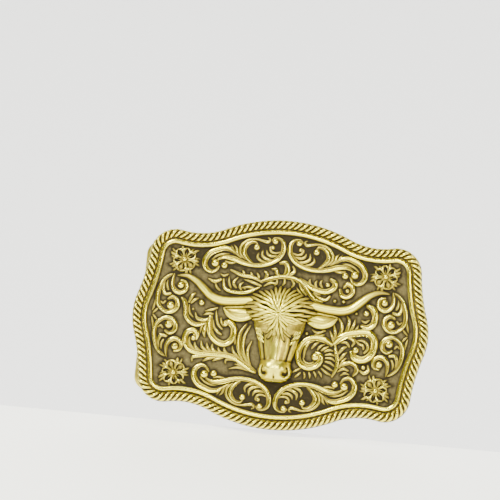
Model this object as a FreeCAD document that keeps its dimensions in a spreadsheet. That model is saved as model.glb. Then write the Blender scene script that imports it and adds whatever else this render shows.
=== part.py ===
"""Western plate buckle for a 38 mm belt strap, with a hinged bail and a hook post.

The plate parts are drawn face up: X to the right, Y up the plate, Z out of its back face's plane
towards the viewer.  They are then turned so that the front looks along -Y.  The origin of the part
is the middle of the bail's strap bar.
"""
import FreeCAD, Part
import math
import os
import Sketcher
from FreeCAD import Placement, Rotation, Vector

SIZES = (
    # outline of the plate, as tangent arcs about its centre
    ("plate_half_width", 47.4),
    ("plate_half_height", 33.5),
    ("crown_end", 27.3),
    ("crown_sag", 4.4),
    ("lobe_radius", 20.0),
    ("corner_in", 12.0),
    ("corner_down", 13.9),
    ("corner_radius", 8.15),
    ("shoulder_radius", 22.0),
    ("flank_radius", 60.0),
    # plate and its borders
    ("plate_thickness", 2.0),
    ("recess_inset", 3.0),
    ("recess_depth", 0.5),
    ("rope_width", 2.9),
    ("rope_height", 1.5),
    ("rope_rounding", 1.3),
    ("rim_inset", 3.1),
    ("rim_width", 1.7),
    ("rim_height", 1.0),
    ("rim_rounding", 0.6),
    # relief, drawn for a field of this half width and half height inside the rim
    ("drawn_half_width", 42.9),
    ("drawn_half_height", 29.1),
    ("crest_height", 1.0),
    ("field_height", 0.8),
    ("flower_height", 0.8),
    ("flower_in", 2.6),
    ("flower_down", 1.5),
    ("petal_count", 7),
    ("petal_reach", 2.5),
    ("petal_long", 1.7),
    ("petal_wide", 1.05),
    ("boss_radius", 0.95),
    ("boss_height", 1.1),
    ("field_drop", 0.4),
    ("figure_drop", 0.8),
    ("horn_rise", 1.75),
    ("ear_height", 1.7),
    ("head_rise", 1.0),
    ("relief_gap", 0.15),
    # hinge and bail
    ("hinge_across", 28.0),
    ("hinge_behind", 6.0),
    ("bail_depth", 16.0),
    ("bail_half_width", 22.4),
    ("wire_radius", 1.75),
    ("bend_radius", 2.6),
    ("bend_gap", 0.3),
    ("pin_proud", 0.3),
    ("pin_clearance", 0.06),
    ("lug_width", 2.6),
    ("lug_wall", 1.04),
    # hook
    ("hook_across", 30.0),
    ("hook_radius", 2.0),
    ("hook_length", 7.0),
    ("hook_collar", 1.5),
    ("hook_flare", 1.1),
    ("hook_lean", 15.0),
    ("hook_foot_radius", 4.2),
    ("hook_foot_height", 1.0),
)

doc = FreeCAD.newDocument("Buckle")
sheet = doc.addObject("Spreadsheet::Sheet", "Sizes")
for row, (alias, value) in enumerate(SIZES, start=1):
    sheet.set("A%d" % row, alias.replace("_", " "))
    sheet.set("B%d" % row, str(value))
    sheet.setAlias("B%d" % row, alias)
doc.recompute()

# formulas for sizes that follow from others
CROWN_SPAN = "(Sizes.plate_half_width - Sizes.crown_end)"
CROWN_RADIUS = "((%s^2 + Sizes.crown_sag^2) / (2 * Sizes.crown_sag))" % CROWN_SPAN
CORNER_ACROSS = "(Sizes.plate_half_width - Sizes.corner_in)"
CORNER_UP = "(Sizes.plate_half_height - Sizes.corner_down)"
PIN_END = "(Sizes.bail_half_width - Sizes.bend_radius - Sizes.bend_gap - Sizes.lug_width - Sizes.pin_proud)"
BORE_RADIUS = "(Sizes.wire_radius + Sizes.pin_clearance)"
LUG_RADIUS = "(%s + Sizes.lug_wall)" % BORE_RADIUS

SCROLL_STEPS = 4        # samples along each span of a stroke
SMALLEST_CRUMB = 0.35   # square millimetres of relief that is too small to keep
FACE_UP = Rotation(Vector(1, 0, 0), 90)

subparts = []


def size(alias):
    """A driving size from the sheet."""
    return float(getattr(sheet, alias))


def formula_value(formula):
    """The value of a formula over the sheet's sizes."""
    return float(sheet.evalExpression(formula))


def pattern_scale():
    """How the relief is stretched across and up to fill the field inside the rim."""
    border_width = size("rim_inset") + size("rim_width")
    across = (size("plate_half_width") - border_width) / size("drawn_half_width")
    up = (size("plate_half_height") - border_width) / size("drawn_half_height")
    return across, up, min(across, up)


def fitted(stroke, drop=0.0):
    """A drawn stroke or ball list, stretched to the field inside the rim, after a shift down."""
    across, up, both = pattern_scale()
    return tuple((x * across, (y - drop) * up, half * both) for x, y, half in stroke)


def plate_place(level=0.0, across=0.0, up=0.0, turn=0.0):
    """The placement of something drawn face up, at a level above the plate's back face."""
    spot = Vector(size("hinge_across") + size("bail_depth") + across, 0, up)
    spot.y = -size("hinge_behind") - level
    return Placement(spot, FACE_UP * Rotation(Vector(0, 0, 1), turn))


def keep(item, name):
    """Registers a finished sub-part under the name of its file."""
    item.Label = name
    subparts.append((name, item))
    return item


def origin_plane(body, role):
    """One of a body's own origin planes or axes."""
    for item in body.Origin.OriginFeatures:
        if item.Role == role:
            return item
    raise ValueError("no origin feature " + role)


def new_sketch(body, name, role="XY_Plane", offset=None):
    """A sketch on one of the body's origin planes."""
    sketch = body.newObject("Sketcher::SketchObject", name)
    sketch.AttachmentSupport = (origin_plane(body, role), [""])
    sketch.MapMode = "FlatFace"
    if offset is not None:
        sketch.AttachmentOffset = offset
    return sketch


def bind(sketch, constraint, formula):
    """Adds a constraint and ties its value to the sheet."""
    number = sketch.addConstraint(constraint)
    sketch.setExpression("Constraints[%d]" % number, formula)
    return number


def circle_crossing(first, first_radius, second, second_radius):
    """The crossing of two circles that lies to the left of the way from first to second."""
    way = second - first
    span = way.Length
    along = (first_radius ** 2 - second_radius ** 2 + span ** 2) / (2 * span)
    aside = math.sqrt(first_radius ** 2 - along ** 2)
    left = Vector(-way.y, way.x, 0) / span
    return first + way * (along / span) + left * aside


def outline_quarter(inset):
    """The five tangent arcs of the upper right quarter, from the top to the right end.

    Each is (kind, centre, radius, start, end), with inset measured inwards from the edge.
    """
    crown_radius = formula_value(CROWN_RADIUS)
    crown = Vector(0, size("plate_half_height") - crown_radius, 0)
    lobe = Vector(size("plate_half_width") - size("lobe_radius"), 0, 0)
    corner = Vector(formula_value(CORNER_ACROSS), formula_value(CORNER_UP), 0)
    corner_radius = size("corner_radius")
    lobe_radius = size("lobe_radius")
    shoulder_radius = size("shoulder_radius")
    flank_radius = size("flank_radius")
    shoulder = circle_crossing(crown, crown_radius + shoulder_radius, corner, corner_radius + shoulder_radius)
    flank = circle_crossing(corner, corner_radius + flank_radius, lobe, lobe_radius + flank_radius)

    def towards(centre, other, radius):
        return centre + (other - centre).normalize() * radius

    crown_in = crown_radius - inset
    corner_in = corner_radius - inset
    lobe_in = lobe_radius - inset
    points = [
        crown + Vector(0, crown_in, 0),
        towards(crown, shoulder, crown_in),
        towards(corner, shoulder, corner_in),
        towards(corner, flank, corner_in),
        towards(lobe, flank, lobe_in),
        lobe + Vector(lobe_in, 0, 0),
    ]
    return (
        ("crown", crown, crown_in, points[0], points[1]),
        ("shoulder", shoulder, shoulder_radius + inset, points[1], points[2]),
        ("corner", corner, corner_in, points[2], points[3]),
        ("flank", flank, flank_radius + inset, points[3], points[4]),
        ("lobe", lobe, lobe_in, points[4], points[5]),
    )


def arc_between(centre, radius, start, end):
    """The shorter arc from start to end, as a counter-clockwise arc and whether it was reversed."""
    first = math.atan2(start.y - centre.y, start.x - centre.x)
    last = math.atan2(end.y - centre.y, end.x - centre.x)
    turn = (last - first + math.pi) % (2 * math.pi) - math.pi
    circle = Part.Circle(centre, Vector(0, 0, 1), radius)
    if turn > 0:
        return Part.ArcOfCircle(circle, first, first + turn), False
    return Part.ArcOfCircle(circle, last, last - turn), True


def draw_outline(sketch, inset, formula):
    """Draws the closed plate outline, inset by a distance, with radii and centres tied to the sheet."""
    quarter = outline_quarter(inset)
    ring = []
    for across, up, forwards in ((1, 1, True), (1, -1, False), (-1, -1, True), (-1, 1, False)):
        run = quarter if forwards else quarter[::-1]
        for kind, centre, radius, start, end in run:
            ends = (start, end) if forwards else (end, start)
            moved = [Vector(p.x * across, p.y * up, 0) for p in (centre,) + ends]
            ring.append((kind, moved[0], radius, moved[1], moved[2], across, up))
    merged = []
    for piece in ring:
        same = merged and merged[-1][0] == piece[0] and piece[0] in ("crown", "lobe")
        if same:
            last = merged.pop()
            merged.append(last[:4] + (piece[4],) + last[5:])
        else:
            merged.append(piece)
    last = merged.pop()
    first = merged.pop(0)
    merged.insert(0, last[:4] + (first[4],) + last[5:])

    numbers = []
    ends = []
    for kind, centre, radius, start, end, across, up in merged:
        arc, swapped = arc_between(centre, radius, start, end)
        numbers.append(sketch.addGeometry(arc, False))
        ends.append((2, 1) if swapped else (1, 2))
    count = len(merged)
    for i in range(count):
        after = (i + 1) % count
        sketch.addConstraint(
            Sketcher.Constraint("Tangent", numbers[i], ends[i][1], numbers[after], ends[after][0])
        )
    rules = {
        "crown": CROWN_RADIUS + " - (%s)",
        "corner": "Sizes.corner_radius - (%s)",
        "lobe": "Sizes.lobe_radius - (%s)",
        "shoulder": "Sizes.shoulder_radius + (%s)",
        "flank": "Sizes.flank_radius + (%s)",
    }
    for number, (kind, centre, radius, start, end, across, up) in zip(numbers, merged):
        bind(sketch, Sketcher.Constraint("Radius", number, radius), rules[kind] % formula)
        reach_across = Sketcher.Constraint("DistanceX", -1, 1, number, 3, centre.x)
        reach_up = Sketcher.Constraint("DistanceY", -1, 1, number, 3, centre.y)
        if kind == "crown":
            side = 1 if start.y > 0 else -1
            sketch.addConstraint(Sketcher.Constraint("PointOnObject", number, 3, -2))
            bind(sketch, reach_up, "%d * (Sizes.plate_half_height - %s)" % (side, CROWN_RADIUS))
        if kind == "lobe":
            side = 1 if start.x > 0 else -1
            sketch.addConstraint(Sketcher.Constraint("PointOnObject", number, 3, -1))
            bind(sketch, reach_across, "%d * (Sizes.plate_half_width - Sizes.lobe_radius)" % side)
        if kind == "corner":
            bind(sketch, reach_across, "%d * %s" % (across, CORNER_ACROSS))
            bind(sketch, reach_up, "%d * %s" % (up, CORNER_UP))


def edges_at_level(shape, level):
    """Names of the edges that lie flat at a level."""
    names = []
    for number, edge in enumerate(shape.Edges, start=1):
        box = edge.BoundBox
        if abs(box.ZMin - level) < 1e-4 and abs(box.ZMax - level) < 1e-4:
            names.append("Edge%d" % number)
    return names


def new_pad(body, sketch, name, formula, backwards=False):
    """A pad of a sketch, its length tied to the sheet."""
    pad = body.newObject("PartDesign::Pad", name)
    pad.Profile = sketch
    pad.Reversed = backwards
    pad.setExpression("Length", formula)
    sketch.Visibility = False
    return pad


def base_plate():
    """The shaped plate, with a shallow recess in its back."""
    body = doc.addObject("PartDesign::Body", "BasePlate")
    outline = new_sketch(body, "PlateOutline")
    draw_outline(outline, 0.0, "0")
    new_pad(body, outline, "PlatePad", "Sizes.plate_thickness")
    doc.recompute()
    before = body.Shape.Volume
    recess = new_sketch(body, "RecessOutline")
    draw_outline(recess, size("recess_inset"), "Sizes.recess_inset")
    pocket = body.newObject("PartDesign::Pocket", "Recess")
    pocket.Profile = recess
    pocket.Reversed = True
    pocket.setExpression("Length", "Sizes.recess_depth")
    doc.recompute()
    if body.Shape.Volume > before - 1.0:
        raise ValueError("the recess cut nothing")
    body.Placement = plate_place()
    keep(body, "base_plate")


def border(name, label, outer, inner, heights, rounding):
    """A closed border that follows the outline between two insets and stands on the front face."""
    body = doc.addObject("PartDesign::Body", name)
    sketch = new_sketch(body, name + "Outline")
    draw_outline(sketch, outer[0], outer[1])
    draw_outline(sketch, inner[0], inner[1])
    new_pad(body, sketch, name + "Pad", heights[1])
    doc.recompute()
    rounded = body.newObject("PartDesign::Fillet", name + "Rounding")
    pad = body.getObject(name + "Pad")
    rounded.Base = (pad, edges_at_level(pad.Shape, heights[0]))
    rounded.setExpression("Radius", rounding)
    doc.recompute()
    body.Placement = plate_place(size("plate_thickness"))
    keep(body, label)


def borders():
    """The rope edge and the smooth rim inside it."""
    border(
        "RopeEdge", "rope_edge",
        (0.0, "0"), (size("rope_width"), "Sizes.rope_width"),
        (size("rope_height"), "Sizes.rope_height"), "Sizes.rope_rounding",
    )
    outer = size("rim_inset")
    inner = outer + size("rim_width")
    border(
        "InnerRim", "inner_rim",
        (outer, "Sizes.rim_inset"), (inner, "Sizes.rim_inset + Sizes.rim_width"),
        (size("rim_height"), "Sizes.rim_height"), "Sizes.rim_rounding",
    )


# ---------------------------------------------------------------------------------------------
# Relief strokes.  A stroke is a list of (across, up, half width) points; a ball is one point.
# All are for the right or upper right side and are mirrored where the pattern is.
CREST = (
    ((4.9, 27.2, 0.45), (4.2, 27.95, 0.4), (2.8, 27.9, 0.45), (1.5, 26.9, 0.65), (1.0, 25.2, 0.8),
     (1.3, 23.2, 0.8),
     (2.7, 21.1, 0.8), (5.0, 19.6, 0.8), (7.8, 18.7, 0.75), (11.0, 18.5, 0.7), (14, 19, 0.8), (17, 20, 0.9),
     (19.6, 20.3, 0.7), (21.4, 19.8, 0.5), (22.5, 19, 0.4)),
    ((9.7, 24.6, 0.4), (10.3, 26.0, 0.4), (12.2, 25.7, 0.5), (13.6, 24.0, 0.6), (13.7, 22.2, 0.6),
     (12.4, 20.4, 0.5),
     (11, 19.3, 0.4)),
    ((2.2, 23.4, 0.3), (3.6, 23.0, 0.4), (5.0, 23.4, 0.4), (5.4, 24.6, 0.35), (4.6, 25.0, 0.35)),
    ((6.5, 23.4, 0.3), (6.0, 22.4, 0.45), (4.6, 21.9, 0.45), (3.0, 22.2, 0.3)),
    ((7.6, 23.4, 0.25), (7.8, 22.0, 0.45), (6.4, 20.9, 0.5), (4.4, 20.6, 0.35)),
    ((6.4, 27.8, 0.25), (5.7, 27.3, 0.35), (6.4, 26.4, 0.55), (8.2, 26.7, 0.45), (10.2, 27.0, 0.4),
     (12.4, 26.6, 0.4),
     (14.2, 25.4, 0.45), (15.2, 23.6, 0.45), (14.8, 21.6, 0.4), (13.2, 20.2, 0.3)),
    ((17.4, 24.4, 0.15), (16.4, 23.4, 0.4), (16.0, 21.8, 0.4), (14.6, 20.6, 0.3)),
    ((16.0, 21.2, 0.3), (18.0, 22.8, 0.6), (20.2, 23.2, 0.8), (22.4, 22.9, 0.85), (24.5, 21.5, 0.9),
     (26.0, 19.5, 0.9),
     (26.3, 17.5, 0.85), (25.4, 15.9, 0.75), (23.9, 15.2, 0.6), (22.4, 15.8, 0.5), (21.7, 17.0, 0.45)),
)
CREST_BALLS = ((3.9, 26.9, 1.05), (9.8, 24.4, 1.1), (4.6, 24.7, 0.7), (22.9, 18.1, 1.35), (19.8, 17.6, 1.2))

SIDE = (
    ((35.6, 13.0, 0.35), (36.2, 11.6, 0.45), (36.1, 9.6, 0.6), (35.1, 8.1, 0.75), (33.5, 7.5, 0.75),
     (31.9, 8.3, 0.7),
     (31.4, 9.8, 0.6), (32.0, 11.1, 0.5), (33.3, 11.4, 0.5)),
    ((36.4, 13.1, 0.3), (37.6, 12.7, 0.45), (39.0, 11.4, 0.5), (40.0, 9.2, 0.65), (40.6, 6.4, 0.7),
     (40.4, 3.8, 0.6),
     (39.2, 2.0, 0.6), (37.2, 0.9, 0.65), (35.2, 1.4, 0.75), (33.9, 3.0, 0.75), (34.1, 4.9, 0.7),
     (35.6, 5.9, 0.6),
     (37.0, 5.2, 0.45)),
    ((38.6, 10.6, 0.2), (39.0, 8.6, 0.45), (38.3, 6.8, 0.55), (36.6, 6.9, 0.5)),
    ((39.5, 4.2, 0.25), (38.7, 3.6, 0.4), (38.0, 4.3, 0.35)),
    ((41.2, 4.6, 0.2), (41.3, 2.6, 0.4), (41.9, 1.2, 0.25)),
    ((40.3, 1.7, 0.3), (40.8, 1.1, 0.4), (41.6, 0.3, 0.25)),
)
SIDE_BALLS = ((33.4, 10.1, 1.2), (36.1, 3.6, 1.3))

LEFT_FIELD = (
    ((-22.6, 1.2, 0.5), (-22.8, -1.5, 0.8), (-22.3, -4, 0.9), (-21, -6, 0.9), (-19, -7.2, 0.9),
     (-17, -7.2, 0.95),
     (-15.3, -6, 1.0), (-14.6, -3.8, 1.0), (-15.0, -1.7, 0.85), (-16.3, -0.6, 0.6), (-17.6, -0.6, 0.5)),
    ((-21, 2.8, 0.2), (-20.7, 1, 0.4), (-20.0, -1.4, 0.5), (-19.2, -3.4, 0.3)),
    ((-24.4, 2.6, 0.2), (-23.3, 2.3, 0.5), (-22.4, 1.0, 0.4)),
    ((-23.2, -0.2, 0.4), (-25, -0.4, 0.6), (-27, 0, 0.6), (-27.7, 1.5, 0.25)),
    ((-24.0, -1.4, 0.3), (-27, -2.0, 0.6), (-29.5, -1, 0.7), (-30.8, 1, 0.75), (-31, 3, 0.7),
     (-31.5, 5, 0.5),
     (-32.4, 6.2, 0.25)),
    ((-30.5, 4.4, 0.35), (-29.4, 6.2, 0.55), (-28.4, 7.9, 0.25)),
    ((-29.9, 5.2, 0.35), (-28.4, 5.4, 0.5), (-27.4, 6.2, 0.25)),
    ((-24, -2.2, 0.5), (-24.3, -3.9, 0.5), (-23.9, -5.4, 0.2)),
    ((-26.7, -6.4, 0.5), (-26.7, -5, 0.6), (-28, -4.0, 0.7), (-29.7, -4.6, 0.8), (-30.3, -6.5, 0.85),
     (-29.7, -8.8, 0.85),
     (-28, -10.4, 0.85), (-25, -11, 0.7), (-21, -11, 0.65), (-17, -11, 0.65), (-13.5, -11.6, 0.6),
     (-11, -13, 0.55),
     (-8, -14.7, 0.4)),
    ((-27, -7.8, 0.25), (-26.4, -9.0, 0.5), (-25, -10.4, 0.45)),
    ((-24.6, -7.2, 0.25), (-24.1, -8.9, 0.5), (-22.5, -10.4, 0.45)),
    ((-21.3, -7.9, 0.25), (-21.1, -9.2, 0.5), (-19.5, -10.5, 0.45)),
    ((-17.2, -8.4, 0.25), (-17.0, -9.5, 0.45), (-16, -10.5, 0.4)),
    ((-14.5, -8, 0.25), (-13.8, -9.6, 0.5), (-12, -11.6, 0.45)),
    ((-27.3, -13.7, 0.25), (-27.0, -12.6, 0.45), (-25, -12.1, 0.5), (-22, -11.5, 0.4)),
    ((-23.5, -13.4, 0.25), (-22.2, -12.9, 0.45), (-20, -11.8, 0.4)),
    ((-11, -0.3, 0.2), (-12.3, -3, 0.5), (-12.6, -6, 0.6), (-12.3, -9, 0.6), (-11, -11.5, 0.4)),
    ((-8.9, -6.0, 0.2), (-9.8, -8.6, 0.55), (-9.3, -11.6, 0.5), (-8.2, -13.8, 0.3)),
)
LEFT_FIELD_BALLS = ((-26.0, 5.3, 1.0), (-17.6, -0.9, 0.9))

RIGHT_FIELD = (
    ((17.6, -4.5, 0.45), (15.5, -3.4, 0.7), (12.5, -2.9, 0.8), (10, -3.4, 0.85), (8.2, -4.9, 0.9),
     (7.2, -7, 0.9),
     (7.1, -9.5, 0.9), (8.2, -11.5, 0.9), (10.5, -12.5, 0.85), (12.9, -11.8, 0.8), (14.2, -10, 0.6),
     (13.8, -8.4, 0.5)),
    ((11.3, -3.6, 0.35), (9.8, -5.0, 0.5), (9.2, -7.2, 0.4), (9.3, -9.0, 0.25)),
    ((16.2, -4.8, 0.3), (14.4, -5.8, 0.45), (13.6, -6.4, 0.25)),
    ((18.7, -6.6, 0.4), (17.2, -6.3, 0.5), (15.8, -6.6, 0.25)),
    ((18.9, -9.3, 0.35), (17.6, -8.4, 0.5), (16.1, -8.4, 0.25)),
    ((19.2, -12.4, 0.35), (17.4, -11.2, 0.5), (16.0, -10.3, 0.25)),
    ((18.3, -4.7, 0.5), (19, -7, 0.6), (19.6, -9.5, 0.6), (19.4, -12, 0.55), (18.3, -14.5, 0.4)),
    ((22.2, -4.8, 0.25), (21.0, -5.4, 0.5), (19.6, -7.2, 0.4)),
    ((22.4, -8, 0.25), (21.3, -9.4, 0.5), (20.2, -11.6, 0.4)),
    ((20.4, -11.2, 0.4), (22.2, -10.1, 0.6), (24.2, -9.9, 0.65), (25.9, -10.9, 0.65), (26.3, -12.5, 0.55),
     (25.4, -13.6, 0.35)),
    ((18.5, -4.0, 0.5), (20, -2.4, 0.7), (22, -1.0, 0.9), (24.5, -0.3, 1.0), (28, 0.3, 1.2),
     (30.3, -0.6, 1.3),
     (31.2, -2.8, 1.3), (30.9, -5.5, 1.25), (29.6, -7.5, 1.1), (27.5, -8.4, 0.9), (25.4, -7.8, 0.75),
     (24.4, -6.3, 0.6)),
    ((28.0, 9.0, 0.6), (29.8, 8.0, 0.9), (30.6, 5.8, 1.0), (30.3, 3.4, 0.9), (28.6, 2.0, 0.7),
     (26.8, 2.4, 0.5)),
    ((19, 4.2, 0.2), (20.0, 2.5, 0.6), (20.0, 0, 0.6), (19, -2.7, 0.5)),
    ((17.6, 1.5, 0.2), (18.2, -0.6, 0.5), (18.4, -2.8, 0.4)),
    ((21.7, 5.0, 0.2), (22.4, 3.4, 0.6), (22.0, 0.6, 0.6), (21.2, -1.4, 0.4)),
    ((24.4, 4.0, 0.2), (24.0, 2.2, 0.45), (23.0, 0.2, 0.4)),
    ((10.8, -0.4, 0.2), (12.7, -1.1, 0.5), (15, -0.4, 0.2)),
)
RIGHT_FIELD_BALLS = ((12.8, -8.6, 1.3), (28.0, 6.4, 0.9), (24.6, 6.2, 0.55), (25.2, -5.6, 1.0))

TOP_FIELD = (
    ((-1.4, 20.3, 0.3), (0.2, 20.4, 0.7), (0.9, 18.6, 0.8), (0.2, 16.4, 0.5)),
    ((-4.0, 18.0, 0.25), (-2.9, 17.8, 0.6), (-2.2, 16.0, 0.5)),
    ((2.6, 19.3, 0.2), (3.0, 18.0, 0.6), (1.7, 16.6, 0.4)),
    ((-7.6, 13.7, 0.4), (-4, 15.0, 0.6), (-1, 15.9, 0.65), (1.4, 15.9, 0.65), (4, 15.4, 0.65),
     (6.5, 13.9, 0.65),
     (8.5, 11.5, 0.7), (10.5, 9.6, 0.7), (13, 8.9, 0.45)),
    ((-7.0, 17.2, 0.2), (-6.0, 16.4, 0.55), (-6.4, 14.5, 0.4)),
    ((0.3, 15.2, 0.4), (0.3, 14.3, 0.5), (-0.2, 13.3, 0.2)),
    ((3.2, 15.2, 0.4), (3.5, 14.0, 0.5), (2.8, 12.8, 0.2)),
    ((5.6, 14.9, 0.4), (7.8, 14.0, 0.6), (10.4, 12.7, 0.7), (13.8, 12.3, 0.85), (16.2, 13.4, 0.95),
     (16.6, 15.2, 0.8),
     (15.4, 16.3, 0.5)),
    ((10.6, 12.8, 0.35), (10.8, 14.4, 0.45), (11.8, 15.2, 0.2)),
    ((10.0, 10.6, 0.4), (12, 10.2, 0.55), (14.2, 9.8, 0.5), (15.3, 10.9, 0.25)),
    ((18.6, 13.2, 0.3), (19.4, 11.6, 0.6), (21.2, 11.3, 0.75), (22.6, 12.8, 0.75), (22.2, 14.6, 0.6),
     (20.7, 15.3, 0.35)),
    ((-7, 13.6, 0.4), (-10, 14.9, 0.55), (-14, 15.4, 0.55), (-17.5, 16.6, 0.25)),
    ((-7.2, 12.7, 0.4), (-10, 13.2, 0.55), (-12.8, 13.7, 0.25)),
    ((-19.6, 13.4, 0.25), (-18.9, 10.9, 0.55), (-16.8, 9.8, 0.6), (-13, 9.7, 0.6), (-10.4, 10.6, 0.5),
     (-7.6, 12.2, 0.3)),
    ((-15.2, 14.3, 0.2), (-16.2, 12.8, 0.5), (-15.3, 11.2, 0.45), (-14.4, 10.2, 0.3)),
    ((-24.3, 13.2, 0.25), (-22.6, 12.6, 0.55), (-20.9, 13.2, 0.25)),
    ((-22, 12.3, 0.4), (-21.6, 10.8, 0.4), (-20.8, 9.8, 0.2)),
)
TOP_FIELD_BALLS = ((17.2, 9.6, 0.6), (20.1, 9.6, 0.6), (14.2, 14.6, 0.8), (-12.9, 12.0, 0.6))

HORN = (
    (8.0, 7.6, 1.45), (11.5, 7.1, 1.5), (15.5, 6.6, 1.55), (19.5, 6.5, 1.6), (22.8, 7.5, 1.55),
    (25.6, 9.8, 1.45),
    (28.2, 12.0, 1.2), (31.4, 13.5, 0.85), (34.6, 13.4, 0.4),
)
EAR = ((9.5, 2.6, 1.1), (12.0, 3.0, 1.7), (14.5, 3.1, 1.75), (17.0, 3.6, 1.2), (19.2, 4.5, 0.25))

# (up, half width, height above the front face) of the head, from the crown of the skull to the chin
HEAD = (
    (10.0, 4.0, 1.6), (8.0, 7.2, 2.8), (5.0, 8.6, 3.6), (2.0, 8.2, 4.1), (-1.5, 7.2, 4.5), (-4.0, 6.0, 4.7),
    (-7.0, 5.2, 4.7), (-10.0, 4.8, 4.7), (-12.6, 4.9, 5.0), (-15.2, 5.1, 5.2), (-17.4, 4.5, 4.4),
    (-19.0, 3.0, 2.2),
)
FORELOCK = (
    (12.2, 2.4, 1.6), (11.2, 6.0, 3.0), (9.2, 9.0, 4.3), (6.6, 10.6, 5.2), (4.2, 10.3, 5.8),
    (2.2, 8.8, 6.1),
    (0.0, 6.2, 6.2), (-2.0, 4.0, 6.0), (-4.4, 3.0, 5.5), (-6.2, 1.4, 5.0),
)


def curve_through(points):
    """A smooth curve through the points."""
    curve = Part.BSplineCurve()
    curve.interpolate(points)
    return curve


def along_stroke(stroke, steps=SCROLL_STEPS):
    """Samples of a stroke: (point, unit direction, half width)."""
    points = [Vector(x, y, 0) for x, y, half in stroke]
    curve = curve_through(points)
    stops = [curve.parameter(point) for point in points]
    samples = []
    for i in range(len(points) - 1):
        for j in range(steps):
            share = j / steps
            spot = stops[i] + (stops[i + 1] - stops[i]) * share
            half = stroke[i][2] + (stroke[i + 1][2] - stroke[i][2]) * share
            samples.append((curve.value(spot), curve.tangent(spot)[0], half))
    samples.append((points[-1], curve.tangent(stops[-1])[0], stroke[-1][2]))
    return samples


def stroke_face(stroke, extra=0.0):
    """The flat face that a stroke covers, with rounded ends."""
    samples = along_stroke(stroke)
    left = []
    right = []
    for point, way, half in samples:
        aside = Vector(-way.y, way.x, 0) * (half + extra)
        left.append(point + aside)
        right.append(point - aside)
    tail = samples[0][0] - samples[0][1] * (samples[0][2] + extra)
    tip = samples[-1][0] + samples[-1][1] * (samples[-1][2] + extra)
    edges = [
        curve_through(right).toShape(),
        Part.Arc(right[-1], tip, left[-1]).toShape(),
        curve_through(left[::-1]).toShape(),
        Part.Arc(left[0], tail, right[0]).toShape(),
    ]
    return Part.Face(Part.Wire(edges))


def ball_face(ball, extra=0.0):
    """The round face of a ball end."""
    across, up, radius = ball
    ring = Part.Circle(Vector(across, up, 0), Vector(0, 0, 1), radius + extra)
    return Part.Face(Part.Wire(ring.toShape()))


def grouped_faces(faces):
    """Faces that share edges, gathered into one list for each connected region."""
    groups = []
    for face in faces:
        marks = {edge.hashCode() for edge in face.Edges}
        linked = [group for group in groups if group[0] & marks]
        members = [face]
        for group in linked:
            groups.remove(group)
            marks |= group[0]
            members = group[1] + members
        groups.append((marks, members))
    return [members for marks, members in groups]


def united(faces):
    """Flat faces that overlap, joined into one face for each connected region."""
    joined = faces[0].multiFuse(faces[1:])
    kept = []
    for members in grouped_faces(joined.Faces):
        kept += Part.Shell(members).removeSplitter().Faces
    return kept


def trimmed(faces, cutters):
    """Flat faces less the cutters that reach them, without the crumbs that are left over."""
    kept = []
    for face in faces:
        near = [cutter for cutter in cutters if cutter.BoundBox.intersect(face.BoundBox)]
        rest = face.cut(near) if near else face
        kept += [piece for piece in rest.Faces if piece.Area > SMALLEST_CRUMB]
    return kept


def field_region(inset):
    """The flat face inside an inset of the plate's outline."""
    quarter = outline_quarter(inset)
    edges = []
    for across, up, forwards in ((1, 1, True), (1, -1, False), (-1, -1, True), (-1, 1, False)):
        run = quarter if forwards else quarter[::-1]
        for kind, centre, radius, start, end in run:
            moved = [Vector(p.x * across, p.y * up, 0) for p in (centre, start, end)]
            arc, swapped = arc_between(moved[0], radius, moved[1], moved[2])
            edges.append(arc.toShape())
    face = Part.Face(Part.Wire(Part.sortEdges(edges)[0]))
    return face if face.normalAt(0, 0).z > 0 else face.reversed()


def inside(faces, region):
    """The parts of flat faces that lie in a region."""
    return [piece for face in faces for piece in face.common(region).Faces]


def flat_faces(strokes, balls, extra=0.0, drop=0.0):
    """The faces of strokes and balls, before they are joined."""
    drawn = [stroke_face(fitted(stroke, drop), extra) for stroke in strokes]
    return drawn + [ball_face(ball, extra) for ball in fitted(balls, drop)]


def mirrored(shape, across, up):
    """A flat shape mirrored to another quarter, still facing up."""
    if across < 0:
        shape = shape.mirror(Vector(0, 0, 0), Vector(1, 0, 0))
    if up < 0:
        shape = shape.mirror(Vector(0, 0, 0), Vector(0, 1, 0))
    return shape.reversed() if across * up < 0 else shape


def relief(name, faces, formula):
    """A low relief pattern: a flat drawing, extruded by a height from the sheet."""
    drawing = doc.addObject("Part::Feature", name + "_drawing")
    drawing.Shape = Part.makeCompound(faces)
    drawing.Placement = plate_place(size("plate_thickness"))
    raised = doc.addObject("Part::Extrusion", name)
    raised.Base = drawing
    raised.DirMode = "Custom"
    raised.Dir = Vector(0, -1, 0)
    raised.Solid = True
    raised.setExpression("LengthFwd", formula)
    keep(raised, name)


def head_stations(stations):
    """The stations of a head section list, fitted to the field."""
    across, up, both = pattern_scale()
    rise = size("head_rise")
    drop = size("figure_drop")
    return [((level - drop) * up, half * both, tall * rise) for level, half, tall in stations]


def station_face(stations, extra=0.0):
    """The footprint of a solid given by stations up the plate."""
    left = [Vector(-half - extra, up, 0) for up, half, tall in stations]
    right = [Vector(half + extra, up, 0) for up, half, tall in stations]
    top = Part.LineSegment(right[0], left[0]).toShape()
    foot = Part.LineSegment(left[-1], right[-1]).toShape()
    side_left = curve_through(left).toShape()
    side_right = curve_through(right[::-1]).toShape()
    return Part.Face(Part.Wire([top, side_left, foot, side_right]))


def arched_section(centre, aside, half, tall):
    """A closed half-oval section that stands on the front face."""
    steps = 6
    points = []
    for i in range(steps + 1):
        angle = math.pi * i / steps
        points.append(centre + aside * (half * math.cos(angle)) + Vector(0, 0, tall * math.sin(angle)))
    arch = curve_through(points).toShape()
    base = Part.LineSegment(points[-1], points[0]).toShape()
    return Part.Wire([arch, base])


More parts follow.
